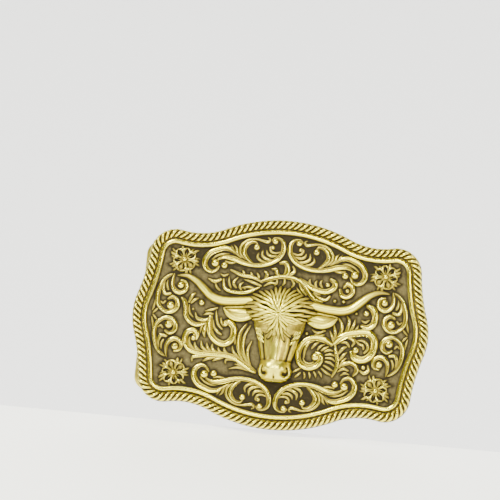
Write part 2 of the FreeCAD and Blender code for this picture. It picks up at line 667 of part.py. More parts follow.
def arched_loft(stations):
    """A solid through half-oval sections up the plate."""
    aside = Vector(1, 0, 0)
    wires = [arched_section(Vector(0, up, 0), aside, half, tall) for up, half, tall in stations]
    return Part.makeLoft(wires, True, False)


def head_pieces():
    """The head and the tuft of hair over it."""
    head = doc.addObject("Part::Feature", "Head")
    head.Shape = arched_loft(head_stations(HEAD))
    head.Placement = plate_place(size("plate_thickness"))
    keep(head, "longhorn_head")
    tuft = doc.addObject("Part::Feature", "TuftBlock")
    tuft.Shape = arched_loft(head_stations(FORELOCK))
    tuft.Placement = plate_place(size("plate_thickness"))
    skull = doc.addObject("Part::Feature", "SkullCopy")
    skull.Shape = arched_loft(head_stations(HEAD))
    skull.Placement = plate_place(size("plate_thickness"))
    cap = doc.addObject("Part::Cut", "Forelock")
    cap.Base = tuft
    cap.Tool = skull
    keep(cap, "forelock")


def head_footprint(extra):
    """The head and its hair, as flat faces that the patterns around it stay clear of."""
    return [station_face(head_stations(HEAD), extra), station_face(head_stations(FORELOCK), extra)]


def horns():
    """Two horns that start at the hair's edge and sweep up to the rim."""
    rise = size("horn_rise")
    for name, side in (("horn_right", 1), ("horn_left", -1)):
        wires = []
        for point, way, half in along_stroke(fitted(HORN, size("field_drop")), 2):
            aside = Vector(-way.y, way.x, 0)
            section = arched_section(point, aside, half, half * rise)
            wires.append(section)
        solid = Part.makeLoft(wires, True, False)
        if side < 0:
            solid = solid.mirror(Vector(0, 0, 0), Vector(1, 0, 0))
        whole = doc.addObject("Part::Feature", name + "_whole")
        whole.Shape = solid
        whole.Placement = plate_place(size("plate_thickness"))
        footprint = head_footprint(size("relief_gap"))
        skull_prism = footprint[0].extrude(Vector(0, 0, 20))
        hair_prism = footprint[1].extrude(Vector(0, 0, 20))
        block = doc.addObject("Part::Feature", name + "_head_block")
        block.Shape = skull_prism.fuse(hair_prism)
        block.Placement = plate_place(size("plate_thickness"))
        horn = doc.addObject("Part::Cut", name)
        horn.Base = whole
        horn.Tool = block
        keep(horn, name)


def quarters():
    """The four quarters of the plate: signs across and up, and the words for them."""
    return (
        (1, 1, "upper_right"), (-1, 1, "upper_left"), (1, -1, "lower_right"), (-1, -1, "lower_left"),
    )


def patterns():
    """All the low relief, each group cut clear of the pieces that stand over it."""
    gap = size("relief_gap")
    drop = size("field_drop")
    horn = stroke_face(fitted(HORN, drop), gap)
    over = head_footprint(gap) + [horn, mirrored(horn, -1, 1)]
    ear = stroke_face(fitted(EAR, drop))
    wide_ear = stroke_face(fitted(EAR, drop), gap)
    for name, side in (("ear_right", 1), ("ear_left", -1)):
        relief(name, trimmed([mirrored(ear, side, 1)], over), "Sizes.ear_height")
    over += [wide_ear, mirrored(wide_ear, -1, 1)]

    region = field_region(size("rim_inset") + size("rim_width") + gap)
    crest = inside(united(flat_faces(CREST, CREST_BALLS)), region)
    crest_wide = united(flat_faces(CREST, CREST_BALLS, gap))
    side = inside(united(flat_faces(SIDE, SIDE_BALLS)), region)
    side_wide = united(flat_faces(SIDE, SIDE_BALLS, gap))
    middle = Vector(flower_spot()[0], flower_spot()[1], 0)
    circle = Part.Circle(middle, Vector(0, 0, 1), flower_radius() + gap)
    disc = Part.Face(Part.Wire(circle.toShape()))
    cutters = list(over)
    for across, up, words in quarters():
        corner = [mirrored(disc, across, up)]
        relief(
            "crest_scroll_" + words,
            trimmed([mirrored(face, across, up) for face in crest], over), "Sizes.crest_height",
        )
        relief(
            "side_scroll_" + words,
            trimmed([mirrored(face, across, up) for face in side], over + corner), "Sizes.crest_height",
        )
        cutters += [mirrored(face, across, up) for face in crest_wide + side_wide] + corner
    for name, strokes, balls in (
        ("field_scroll_left", LEFT_FIELD, LEFT_FIELD_BALLS),
        ("field_scroll_right", RIGHT_FIELD, RIGHT_FIELD_BALLS),
        ("field_scroll_top", TOP_FIELD, TOP_FIELD_BALLS),
    ):
        faces = inside(united(flat_faces(strokes, balls, 0.0, drop)), region)
        relief(name, trimmed(faces, cutters), "Sizes.field_height")


def flower_spot():
    """Where a flower's middle is, across and up, from the middle of the corner's rounding."""
    return (
        formula_value(CORNER_ACROSS) - size("flower_in"),
        formula_value(CORNER_UP) - size("flower_down"),
    )


def flower_radius():
    """How far a flower reaches from its middle."""
    return size("petal_reach") + size("petal_long")


def flowers():
    """A flower in each corner: a ring of petals about a small boss."""
    for across, up, words in quarters():
        name = "Flower_" + words
        body = doc.addObject("PartDesign::Body", name)
        petal = new_sketch(body, name + "_petal")
        reach = size("petal_reach")
        far = Vector(reach + size("petal_long"), 0, 0)
        beside = Vector(reach, size("petal_wide"), 0)
        oval = petal.addGeometry(Part.Ellipse(far, beside, Vector(reach, 0, 0)), False)
        petal.exposeInternalGeometry(oval)
        pad = new_pad(body, petal, name + "_petal_pad", "Sizes.flower_height")
        ring = body.newObject("PartDesign::PolarPattern", name + "_ring")
        ring.Originals = [pad]
        ring.Axis = (origin_plane(body, "Z_Axis"), [""])
        ring.Angle = 360
        ring.setExpression("Occurrences", "Sizes.petal_count")
        body.Tip = ring
        doc.recompute()
        boss = new_sketch(body, name + "_boss")
        circle = Part.Circle(Vector(0, 0, 0), Vector(0, 0, 1), size("boss_radius"))
        middle = boss.addGeometry(circle, False)
        boss.addConstraint(Sketcher.Constraint("Coincident", middle, 3, -1, 1))
        bind(boss, Sketcher.Constraint("Radius", middle, size("boss_radius")), "Sizes.boss_radius")
        new_pad(body, boss, name + "_boss_pad", "Sizes.boss_height")
        doc.recompute()
        body.Placement = plate_place(
            size("plate_thickness"), across * flower_spot()[0], up * flower_spot()[1], 90 * up,
        )
        keep(body, "flower_" + words)


# ---------------------------------------------------------------------------------------------
# Hinge, bail and hook.
def bail():
    """The wire bail: a strap bar, two legs, and ends turned in to be the hinge pins."""
    body = doc.addObject("PartDesign::Body", "BailBody")
    path = new_sketch(body, "BailPath", "XZ_Plane")
    depth = size("bail_depth")
    half = size("bail_half_width")
    bend = size("bend_radius")
    end = formula_value(PIN_END)
    corners = [
        Vector(depth, end, 0), Vector(depth, half, 0), Vector(0, half, 0),
        Vector(0, -half, 0), Vector(depth, -half, 0), Vector(depth, -end, 0),
    ]
    lines = []
    for i in range(5):
        way = (corners[i + 1] - corners[i]).normalize()
        start = corners[i] + way * (bend if i > 0 else 0)
        stop = corners[i + 1] - way * (bend if i < 4 else 0)
        lines.append(path.addGeometry(Part.LineSegment(start, stop), False))
    bends = []
    for i in range(1, 5):
        back = (corners[i - 1] - corners[i]).normalize()
        on = (corners[i + 1] - corners[i]).normalize()
        centre = corners[i] + (back + on) * bend
        arc, swapped = arc_between(centre, bend, corners[i] + back * bend, corners[i] + on * bend)
        number = path.addGeometry(arc, False)
        first, last = (2, 1) if swapped else (1, 2)
        path.addConstraint(Sketcher.Constraint("Tangent", lines[i - 1], 2, number, first))
        path.addConstraint(Sketcher.Constraint("Tangent", number, last, lines[i], 1))
        bends.append(number)
        bind(path, Sketcher.Constraint("Radius", number, bend), "Sizes.bend_radius")
    for line, kind in zip(lines, ("Vertical", "Horizontal", "Vertical", "Horizontal", "Vertical")):
        path.addConstraint(Sketcher.Constraint(kind, line))
    path.addConstraint(Sketcher.Constraint("PointOnObject", lines[2], 1, -2))
    bind(path, Sketcher.Constraint("DistanceX", -1, 1, lines[0], 1, depth), "Sizes.bail_depth")
    bind(path, Sketcher.Constraint("DistanceX", -1, 1, lines[4], 2, depth), "Sizes.bail_depth")
    bind(path, Sketcher.Constraint("DistanceY", -1, 1, lines[0], 1, end), PIN_END)
    bind(path, Sketcher.Constraint("DistanceY", -1, 1, lines[4], 2, -end), "-" + PIN_END)
    bind(path, Sketcher.Constraint("DistanceY", -1, 1, lines[1], 1, half), "Sizes.bail_half_width")
    bind(path, Sketcher.Constraint("DistanceY", -1, 1, lines[3], 2, -half), "-Sizes.bail_half_width")
    doc.recompute()
    section = new_sketch(body, "BailSection", "XY_Plane")
    section.setExpression("AttachmentOffset.Base.z", PIN_END)
    ring = section.addGeometry(Part.Circle(Vector(depth, 0, 0), Vector(0, 0, 1), size("wire_radius")), False)
    section.addConstraint(Sketcher.Constraint("PointOnObject", ring, 3, -1))
    bind(section, Sketcher.Constraint("DistanceX", -1, 1, ring, 3, depth), "Sizes.bail_depth")
    bind(section, Sketcher.Constraint("Radius", ring, size("wire_radius")), "Sizes.wire_radius")
    doc.recompute()
    pipe = body.newObject("PartDesign::AdditivePipe", "BailWire")
    pipe.Profile = section
    pipe.Spine = path
    doc.recompute()
    body.Placement = Placement()
    keep(body, "bail")


def hinge_lugs():
    """Two lugs on the plate's back, bored for the bail's pin ends."""
    for name, side in (("hinge_lug_upper", 1), ("hinge_lug_lower", -1)):
        body = doc.addObject("PartDesign::Body", name + "_body")
        sketch = new_sketch(body, name + "_profile")
        radius = formula_value(LUG_RADIUS)
        drop = size("hinge_behind") + size("recess_depth")
        arc = Part.ArcOfCircle(Part.Circle(Vector(0, 0, 0), Vector(0, 0, 1), radius), 0, math.pi)
        top = sketch.addGeometry(arc, False)
        right = sketch.addGeometry(Part.LineSegment(Vector(radius, 0, 0), Vector(radius, -drop, 0)), False)
        sole = Part.LineSegment(Vector(radius, -drop, 0), Vector(-radius, -drop, 0))
        foot = sketch.addGeometry(sole, False)
        left = sketch.addGeometry(Part.LineSegment(Vector(-radius, -drop, 0), Vector(-radius, 0, 0)), False)
        sketch.addConstraint(Sketcher.Constraint("Coincident", top, 3, -1, 1))
        sketch.addConstraint(Sketcher.Constraint("Tangent", top, 1, right, 1))
        sketch.addConstraint(Sketcher.Constraint("Tangent", top, 2, left, 2))
        sketch.addConstraint(Sketcher.Constraint("Coincident", right, 2, foot, 1))
        sketch.addConstraint(Sketcher.Constraint("Coincident", foot, 2, left, 1))
        sketch.addConstraint(Sketcher.Constraint("Horizontal", foot))
        sketch.addConstraint(Sketcher.Constraint("Vertical", right))
        bind(sketch, Sketcher.Constraint("Radius", top, radius), LUG_RADIUS)
        down = Sketcher.Constraint("DistanceY", foot, 1, -1, 1, drop)
        bind(sketch, down, "Sizes.hinge_behind + Sizes.recess_depth")
        bore_radius = formula_value(BORE_RADIUS)
        bore = sketch.addGeometry(Part.Circle(Vector(0, 0, 0), Vector(0, 0, 1), bore_radius), False)
        sketch.addConstraint(Sketcher.Constraint("Coincident", bore, 3, -1, 1))
        bind(sketch, Sketcher.Constraint("Radius", bore, bore_radius), BORE_RADIUS)
        new_pad(body, sketch, name + "_pad", "Sizes.lug_width")
        doc.recompute()
        inner = formula_value(PIN_END) + size("pin_proud")
        foot_level = inner if side > 0 else -inner - size("lug_width")
        body.Placement = Placement(Vector(size("bail_depth"), 0, foot_level), Rotation())
        keep(body, name)


def hook():
    """The hook: a round foot with a flared collar on the plate's back, and a leaning post."""
    across = size("bail_depth") + size("hinge_across") + size("hook_across")
    back = -size("hinge_behind") - size("recess_depth")
    foot_top = back + size("hook_foot_height")
    upright = Rotation(Vector(1, 0, 0), -90)
    lean = Rotation(Vector(0, 0, 1), size("hook_lean"))
    way = lean.multVec(Vector(0, 1, 0))
    root = Vector(across, foot_top, 0)

    foot = doc.addObject("Part::Cylinder", "HookFoot")
    foot.setExpression("Radius", "Sizes.hook_foot_radius")
    foot.setExpression("Height", "Sizes.hook_foot_height")
    foot.Placement = Placement(Vector(across, back, 0), upright)
    collar = doc.addObject("Part::Cone", "HookCollar")
    collar.setExpression("Radius1", "Sizes.hook_radius + Sizes.hook_flare")
    collar.setExpression("Radius2", "Sizes.hook_radius")
    collar.setExpression("Height", "Sizes.hook_collar + Sizes.hook_foot_height")
    collar.Placement = Placement(root - way * size("hook_foot_height"), lean * upright)
    below = doc.addObject("Part::Box", "HookTrim")
    block = 4 * size("hook_foot_radius")
    below.Length = block
    below.Width = block
    below.Height = block
    below.Placement = Placement(Vector(across - block / 2, back - block, -block / 2), Rotation())
    trimmed_collar = doc.addObject("Part::Cut", "HookCollarTrimmed")
    trimmed_collar.Base = collar
    trimmed_collar.Tool = below
    base = doc.addObject("Part::Fuse", "HookBase")
    base.Base = foot
    base.Tool = trimmed_collar
    keep(base, "hook_base")

    shank = doc.addObject("Part::Cylinder", "HookShank")
    shank.setExpression("Radius", "Sizes.hook_radius")
    shank.setExpression("Height", "Sizes.hook_length - Sizes.hook_collar")
    shank.Placement = Placement(root + way * size("hook_collar"), lean * upright)
    end = doc.addObject("Part::Sphere", "HookEnd")
    end.setExpression("Radius", "Sizes.hook_radius")
    end.Placement = Placement(root + way * size("hook_length"), lean * upright)
    post = doc.addObject("Part::Fuse", "HookPost")
    post.Base = shank
    post.Tool = end
    keep(post, "hook_post")


base_plate()
borders()
head_pieces()
horns()
patterns()
flowers()
bail()
hinge_lugs()
hook()
doc.recompute()

for item in doc.Objects:
    if "Invalid" in item.State or "Error" in item.State:
        raise RuntimeError("%s did not build: %s" % (item.Label, item.State))
for name, item in subparts:
    if item.Shape.isNull() or not item.Shape.isValid():
        raise RuntimeError("%s has no valid shape" % name)

os.makedirs("parts", exist_ok=True)
for name, item in subparts:
    item.Shape.exportStep("parts/%s.step" % name)
    box = item.Shape.BoundBox
    print("%-26s solids %2d volume %9.2f  x %.2f..%.2f y %.2f..%.2f z %.2f..%.2f" % (
        name, len(item.Shape.Solids), item.Shape.Volume,
        box.XMin, box.XMax, box.YMin, box.YMax, box.ZMin, box.ZMax))
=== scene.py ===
"""Western plate buckle: the looks of its brass relief, head, rope edge and hardware."""
import math
import random

import bpy
import numpy as np
from mathutils import Matrix, Vector
from mathutils.kdtree import KDTree


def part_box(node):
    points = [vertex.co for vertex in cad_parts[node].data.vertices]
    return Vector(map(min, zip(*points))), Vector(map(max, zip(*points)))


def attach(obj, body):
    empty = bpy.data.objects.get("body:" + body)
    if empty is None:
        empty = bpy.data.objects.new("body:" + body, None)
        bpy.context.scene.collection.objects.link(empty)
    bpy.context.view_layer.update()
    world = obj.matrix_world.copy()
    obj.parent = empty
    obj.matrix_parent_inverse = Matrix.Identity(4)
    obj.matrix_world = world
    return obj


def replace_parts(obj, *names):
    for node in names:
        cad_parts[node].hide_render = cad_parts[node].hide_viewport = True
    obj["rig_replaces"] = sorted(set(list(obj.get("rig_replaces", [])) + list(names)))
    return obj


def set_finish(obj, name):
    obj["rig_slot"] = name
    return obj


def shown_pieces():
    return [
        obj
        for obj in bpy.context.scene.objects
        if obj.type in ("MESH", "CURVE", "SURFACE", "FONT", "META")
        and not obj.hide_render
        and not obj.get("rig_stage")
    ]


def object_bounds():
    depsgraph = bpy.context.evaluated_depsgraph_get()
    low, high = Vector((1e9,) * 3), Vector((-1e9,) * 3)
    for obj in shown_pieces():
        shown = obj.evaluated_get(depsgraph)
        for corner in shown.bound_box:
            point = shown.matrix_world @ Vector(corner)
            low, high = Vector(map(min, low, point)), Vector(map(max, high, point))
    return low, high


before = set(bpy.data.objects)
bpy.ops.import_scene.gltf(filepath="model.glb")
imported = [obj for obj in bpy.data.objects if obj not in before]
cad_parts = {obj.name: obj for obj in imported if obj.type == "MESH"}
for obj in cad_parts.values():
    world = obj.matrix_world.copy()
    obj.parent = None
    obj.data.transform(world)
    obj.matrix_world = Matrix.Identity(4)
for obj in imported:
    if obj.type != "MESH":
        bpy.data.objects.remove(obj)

bl_info = {
    "name": "Western plate buckle",
    "version": (1, 0, 0),
    "blender": (4, 5, 0),
    "location": "3D View > Sidebar > Buckle",
    "description": "Models the relief, head, rope edge and finishes of a western plate buckle",
    "category": "Add Mesh",
}

PACKED_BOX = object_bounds()
MM = 0.001
TURN = 2 * math.pi
PLATE_LOW, PLATE_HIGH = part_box("base_plate")
RIM_LOW, RIM_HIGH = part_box("inner_rim")
FRONT = PLATE_LOW.y
BACK = PLATE_HIGH.y
MIDDLE = (PLATE_LOW.x + PLATE_HIGH.x) / 2
HALF_WIDTH = (PLATE_HIGH.x - PLATE_LOW.x) / 2 / MM
HALF_HEIGHT = (PLATE_HIGH.z - PLATE_LOW.z) / 2 / MM
RIM_WIDTH = 1.7
RIM_HALF_WIDTH = (RIM_HIGH.x - RIM_LOW.x) / 2 / MM
FIELD_HALF_WIDTH = RIM_HALF_WIDTH - RIM_WIDTH
FIELD_HALF_HEIGHT = (RIM_HIGH.z - RIM_LOW.z) / 2 / MM - RIM_WIDTH
DRAWN_HALF_WIDTH = 43.5  # the field that the strokes below are drawn in
DRAWN_HALF_HEIGHT = 29.1
FIELD_DROP = 0.4  # how far the drawn field and head are moved down
FIGURE_DROP = 0.3
CAP_WELD = 0.0005  # joins the caps of a swept stroke to its sides
ROPE_WELD = 0.02
FOOT_LEVEL = -0.3  # relief reaches this far under the plate's face
ROPE_HAND = -1  # -1 for strands that rise to the right along the top
ROPE_STRANDS = 3
STRAND_OFF = 0.52  # a strand's middle and radius, as shares of the rope's radius
STRAND_RADIUS = 0.48
ROPE_SIDES = 33
ROPE_RINGS = 620
RIM_RINGS = 420
STUDIO_GLOW = 1.5
CAMERA_ANGLES = (6.0, -6.0, 5.7)  # azimuth, elevation and roll, in degrees
CAMERA_DISTANCE = 1.0
SENSOR = 36.0
SEEN_WIDTH = 159.0
AIM_RIGHT, AIM_UP = -9.4, 23.8


# ---------------------------------------------------------------------------------------------
# Sizes and colours that a user would change.
def length_size(name, words, value):
    """A length property in millimetres."""
    return bpy.props.FloatProperty(name=name, description=words, default=value, min=0.0)


def colour(name, words, value):
    """A colour property."""
    return bpy.props.FloatVectorProperty(
        name=name, description=words, default=value, size=3, min=0.0, max=1.0, subtype="COLOR",
    )


class BuckleSizes(bpy.types.PropertyGroup):
    """Sizes of the buckle's dress, in millimetres."""

    rope_radius: length_size("Rope radius", "Radius of the twisted rope border, mm", 1.45)
    rope_level: length_size("Rope level", "Height of the rope's middle over the plate, mm", 0.45)
    rope_turns: bpy.props.IntProperty(
        name="Rope turns", description="Turns of each strand round the plate", default=48,
    )
    rim_height: length_size("Rim height", "Height of the smooth rim, mm", 1.05)
    stroke_step: length_size("Stroke step", "Distance between the rings of a scroll, mm", 0.3)
    pebble: length_size("Pebble height", "Height of the cast texture of the ground, mm", 0.035)
    lock_width: length_size("Lock width", "Half width of a lock of the forelock, mm", 0.5)


class BuckleColours(bpy.types.PropertyGroup):
    """Colours of the aged brass."""

    bright: colour("Rubbed brass", "Brass that is rubbed bright", (1.0, 0.89, 0.09))
    middle: colour("Aged brass", "Brass between its heights and hollows", (0.44, 0.345, 0.05))
    dark: colour("Patina", "Patina in the hollows", (0.02, 0.014, 0.003))
    ground: colour("Ground", "Plate behind the scrolls", (0.145, 0.118, 0.055))


# ---------------------------------------------------------------------------------------------
# Drawn strokes: (across, up, half width) points in millimetres from the middle of the plate.
def vine(half, *points):
    """A stroke of even width that thins at both ends."""
    last = len(points) - 1
    return tuple((x, y, half * (0.6 if i in (0, last) else 1.0)) for i, (x, y) in enumerate(points))


def leaf(half, *points):
    """A small stroke from a fine tip to a fuller root."""
    last = len(points) - 1
    shares = [0.3 + 0.7 * math.sin(math.pi * (0.08 + 0.72 * i / last)) for i in range(last + 1)]
    return tuple((x, y, half * share) for (x, y), share in zip(points, shares))


CREST = (
    ((4.9, 27.0, 0.4), (4.2, 27.8, 0.4), (2.8, 27.8, 0.45), (1.5, 26.9, 0.65), (1.0, 25.2, 0.8),
     (1.3, 23.2, 0.85), (2.7, 21.1, 0.85), (5.0, 19.6, 0.85), (7.8, 18.7, 0.8), (11.0, 18.5, 0.75),
     (14, 19, 0.85), (17, 20, 0.95), (19.6, 20.3, 0.75), (21.4, 19.8, 0.5), (22.5, 19, 0.4)),
    ((9.7, 24.6, 0.4), (10.3, 26.0, 0.45), (12.2, 25.7, 0.6), (13.6, 24.0, 0.7), (13.7, 22.2, 0.7),
     (12.4, 20.4, 0.6), (11, 19.3, 0.4)),
    ((2.2, 23.4, 0.3), (3.6, 23.0, 0.4), (5.0, 23.4, 0.45), (5.4, 24.6, 0.4), (4.6, 25.0, 0.35)),
    ((6.5, 23.6, 0.2), (6.0, 22.4, 0.5), (4.6, 21.9, 0.5), (3.0, 22.2, 0.3)),
    ((7.7, 23.6, 0.2), (7.8, 22.0, 0.5), (6.4, 20.9, 0.55), (4.4, 20.6, 0.35)),
    ((9.0, 22.6, 0.2), (9.3, 21.3, 0.45), (8.2, 20.2, 0.5), (6.6, 19.9, 0.3)),
    ((6.4, 27.8, 0.25), (5.7, 27.3, 0.35), (6.4, 26.4, 0.6), (8.2, 26.7, 0.5), (10.2, 27.0, 0.4),
     (12.4, 26.6, 0.45), (14.2, 25.4, 0.5), (15.2, 23.6, 0.5), (14.8, 21.6, 0.45), (13.2, 20.2, 0.3)),
    ((17.4, 24.6, 0.12), (16.4, 23.4, 0.45), (16.0, 21.8, 0.5), (14.6, 20.6, 0.3)),
    ((18.3, 24.4, 0.12), (17.6, 23.2, 0.4), (16.6, 21.9, 0.35)),
    ((16.0, 21.2, 0.3), (18.0, 22.8, 0.7), (20.2, 23.2, 0.9), (22.4, 22.9, 0.95), (24.5, 21.5, 1.0),
     (26.0, 19.5, 1.0), (26.3, 17.5, 0.9), (25.4, 15.9, 0.8), (23.9, 15.2, 0.65), (22.4, 15.8, 0.5),
     (21.7, 17.0, 0.45)),
    ((18.6, 21.4, 0.2), (20.4, 21.3, 0.4), (22.4, 20.6, 0.4), (24.0, 19.2, 0.3)),
    ((16.2, 18.9, 0.3), (17.9, 18.6, 0.45), (19.6, 18.9, 0.3)),
)
CREST_BALLS = (
    (3.9, 26.8, 1.05), (9.8, 24.4, 1.1), (4.6, 24.7, 0.75), (22.9, 18.1, 1.35), (19.8, 17.6, 1.15),
)

SIDE = (
    ((35.8, 13.4, 0.3), (36.2, 11.6, 0.5), (36.1, 9.6, 0.65), (35.1, 8.1, 0.8), (33.5, 7.5, 0.8),
     (31.9, 8.3, 0.75), (31.4, 9.8, 0.65), (32.0, 11.1, 0.55), (33.3, 11.4, 0.5)),
    ((36.4, 13.3, 0.3), (37.6, 12.7, 0.5), (39.0, 11.4, 0.55), (40.0, 9.2, 0.7), (40.6, 6.4, 0.75),
     (40.4, 3.8, 0.7), (39.2, 2.0, 0.65), (37.2, 0.9, 0.7), (35.2, 1.4, 0.85), (33.9, 3.0, 0.85),
     (34.1, 4.9, 0.75), (35.6, 5.9, 0.6), (37.0, 5.2, 0.45)),
    ((38.6, 10.6, 0.2), (39.0, 8.6, 0.5), (38.3, 6.8, 0.6), (36.6, 6.9, 0.5)),
    ((37.8, 11.2, 0.2), (37.9, 9.6, 0.45), (37.4, 8.3, 0.4)),
    ((39.5, 4.2, 0.25), (38.7, 3.6, 0.4), (38.0, 4.3, 0.35)),
    ((41.2, 4.8, 0.2), (41.5, 2.6, 0.4), (41.9, 1.2, 0.25)),
    ((40.3, 1.7, 0.3), (40.8, 1.1, 0.4), (41.6, 0.3, 0.25)),
)
SIDE_BALLS = ((33.4, 10.0, 1.2), (36.1, 3.1, 1.35))

LEFT_FIELD = (
    vine(1.0, (-22.6, 1), (-22.8, -1.5), (-22.3, -4), (-21, -6), (-19, -7.2), (-17, -7.3), (-15.3, -6),
         (-14.6, -3.8), (-15, -1.5), (-16.3, -0.4), (-17.7, -0.3)),
    leaf(0.5, (-21.7, 0), (-21.3, -2), (-20, -3.6), (-18.7, -4.4)),
    leaf(0.5, (-21, 3), (-20.7, 1), (-20, -1.2), (-18.6, -2.6)),
    leaf(0.45, (-19.2, 1.0), (-19.0, -0.4), (-18.2, -1.6)),
    leaf(0.45, (-24.6, 2.7), (-22.8, 3.2), (-20.8, 4)), leaf(0.45, (-25, 1.4), (-23.6, 1.9), (-22, 2)),
    leaf(0.6, (-27.7, 1.7), (-27, 0.2), (-25, -0.3), (-23, 0.3)),
    vine(0.75, (-24, -1.2), (-27, -2), (-29.5, -1), (-30.8, 1), (-31, 3), (-31.5, 5), (-32.5, 6.2)),
    vine(0.4, (-30, 4.2), (-29.7, 1.9), (-28.4, 0.4)),
    leaf(0.55, (-28.3, 8.2), (-29.3, 7.3), (-30.2, 5.2)), leaf(0.5, (-27.3, 6.6), (-28.4, 6.0),
         (-29.4, 5.0)),
    leaf(0.6, (-24, -5.6), (-24.4, -3.9), (-24, -2.2)), leaf(0.4, (-25.6, -4.6), (-25.4, -3.2),
         (-25.0, -2.2)),
    vine(0.9, (-26.7, -6.5), (-26.6, -5), (-28, -3.9), (-29.7, -4.6), (-30.3, -6.5), (-29.7, -8.8),
         (-28, -10.4), (-25, -11), (-21, -11), (-17, -11), (-13.5, -11.6), (-11, -13), (-8, -14.7),
         (-6.5, -15.5)),
    leaf(0.5, (-28.9, -6.3), (-28.7, -8.2), (-27, -9.9)), leaf(0.55, (-27, -7.8), (-26.6, -9.2),
         (-25, -10.3)),
    leaf(0.55, (-24.9, -7.2), (-24.4, -9.0), (-22.5, -10.3)), leaf(0.5, (-23.0, -7.6), (-22.7, -9.0),
         (-21.4, -10.2)),
    leaf(0.55, (-21.2, -7.9), (-21, -9.4), (-19.3, -10.4)), leaf(0.45, (-19.2, -8.6), (-18.9, -9.6),
         (-17.8, -10.4)),
    leaf(0.5, (-17.2, -8.5), (-17, -9.6), (-15.8, -10.5)), leaf(0.5, (-14.6, -8), (-14, -9.8),
         (-12, -11.2)),
    leaf(0.45, (-13.0, -10.6), (-11.6, -11.8), (-10.0, -12.6)),
    leaf(0.55, (-27.3, -13.8), (-27.2, -12.6), (-25, -12), (-22, -11.7)),
    leaf(0.5, (-23.7, -13.5), (-22.4, -12.7), (-20, -12)),
    leaf(0.5, (-20.6, -13.2), (-19.2, -12.4), (-17.4, -11.9)),
    leaf(0.5, (-16.3, -13.7), (-16.3, -12.6), (-14.5, -12.1), (-12, -12.7), (-10, -14)),
    leaf(0.45, (-15, -15.2), (-12, -14.6), (-9, -15.2)), leaf(0.4, (-13.4, -13.6), (-11.6, -13.8),
         (-9.6, -14.8)),
    leaf(0.65, (-10.6, -0.3), (-12.3, -3), (-12.8, -6), (-12.4, -9), (-11, -11.5)),
    leaf(0.6, (-9.4, -0.8), (-10.9, -4), (-11.3, -7), (-10.8, -10), (-9.5, -12.5)),
    leaf(0.55, (-8.5, -5.8), (-9.5, -8.6), (-9.2, -11.6), (-8, -14)),
    leaf(0.4, (-13.6, -2.2), (-14.0, -4.6), (-13.9, -7.0)),
)
LEFT_FIELD_BALLS = ((-26.0, 5.3, 1.05), (-17.6, -0.9, 1.0), (-27.6, -6.4, 0.95), (-28.6, 3.0, 0.5))

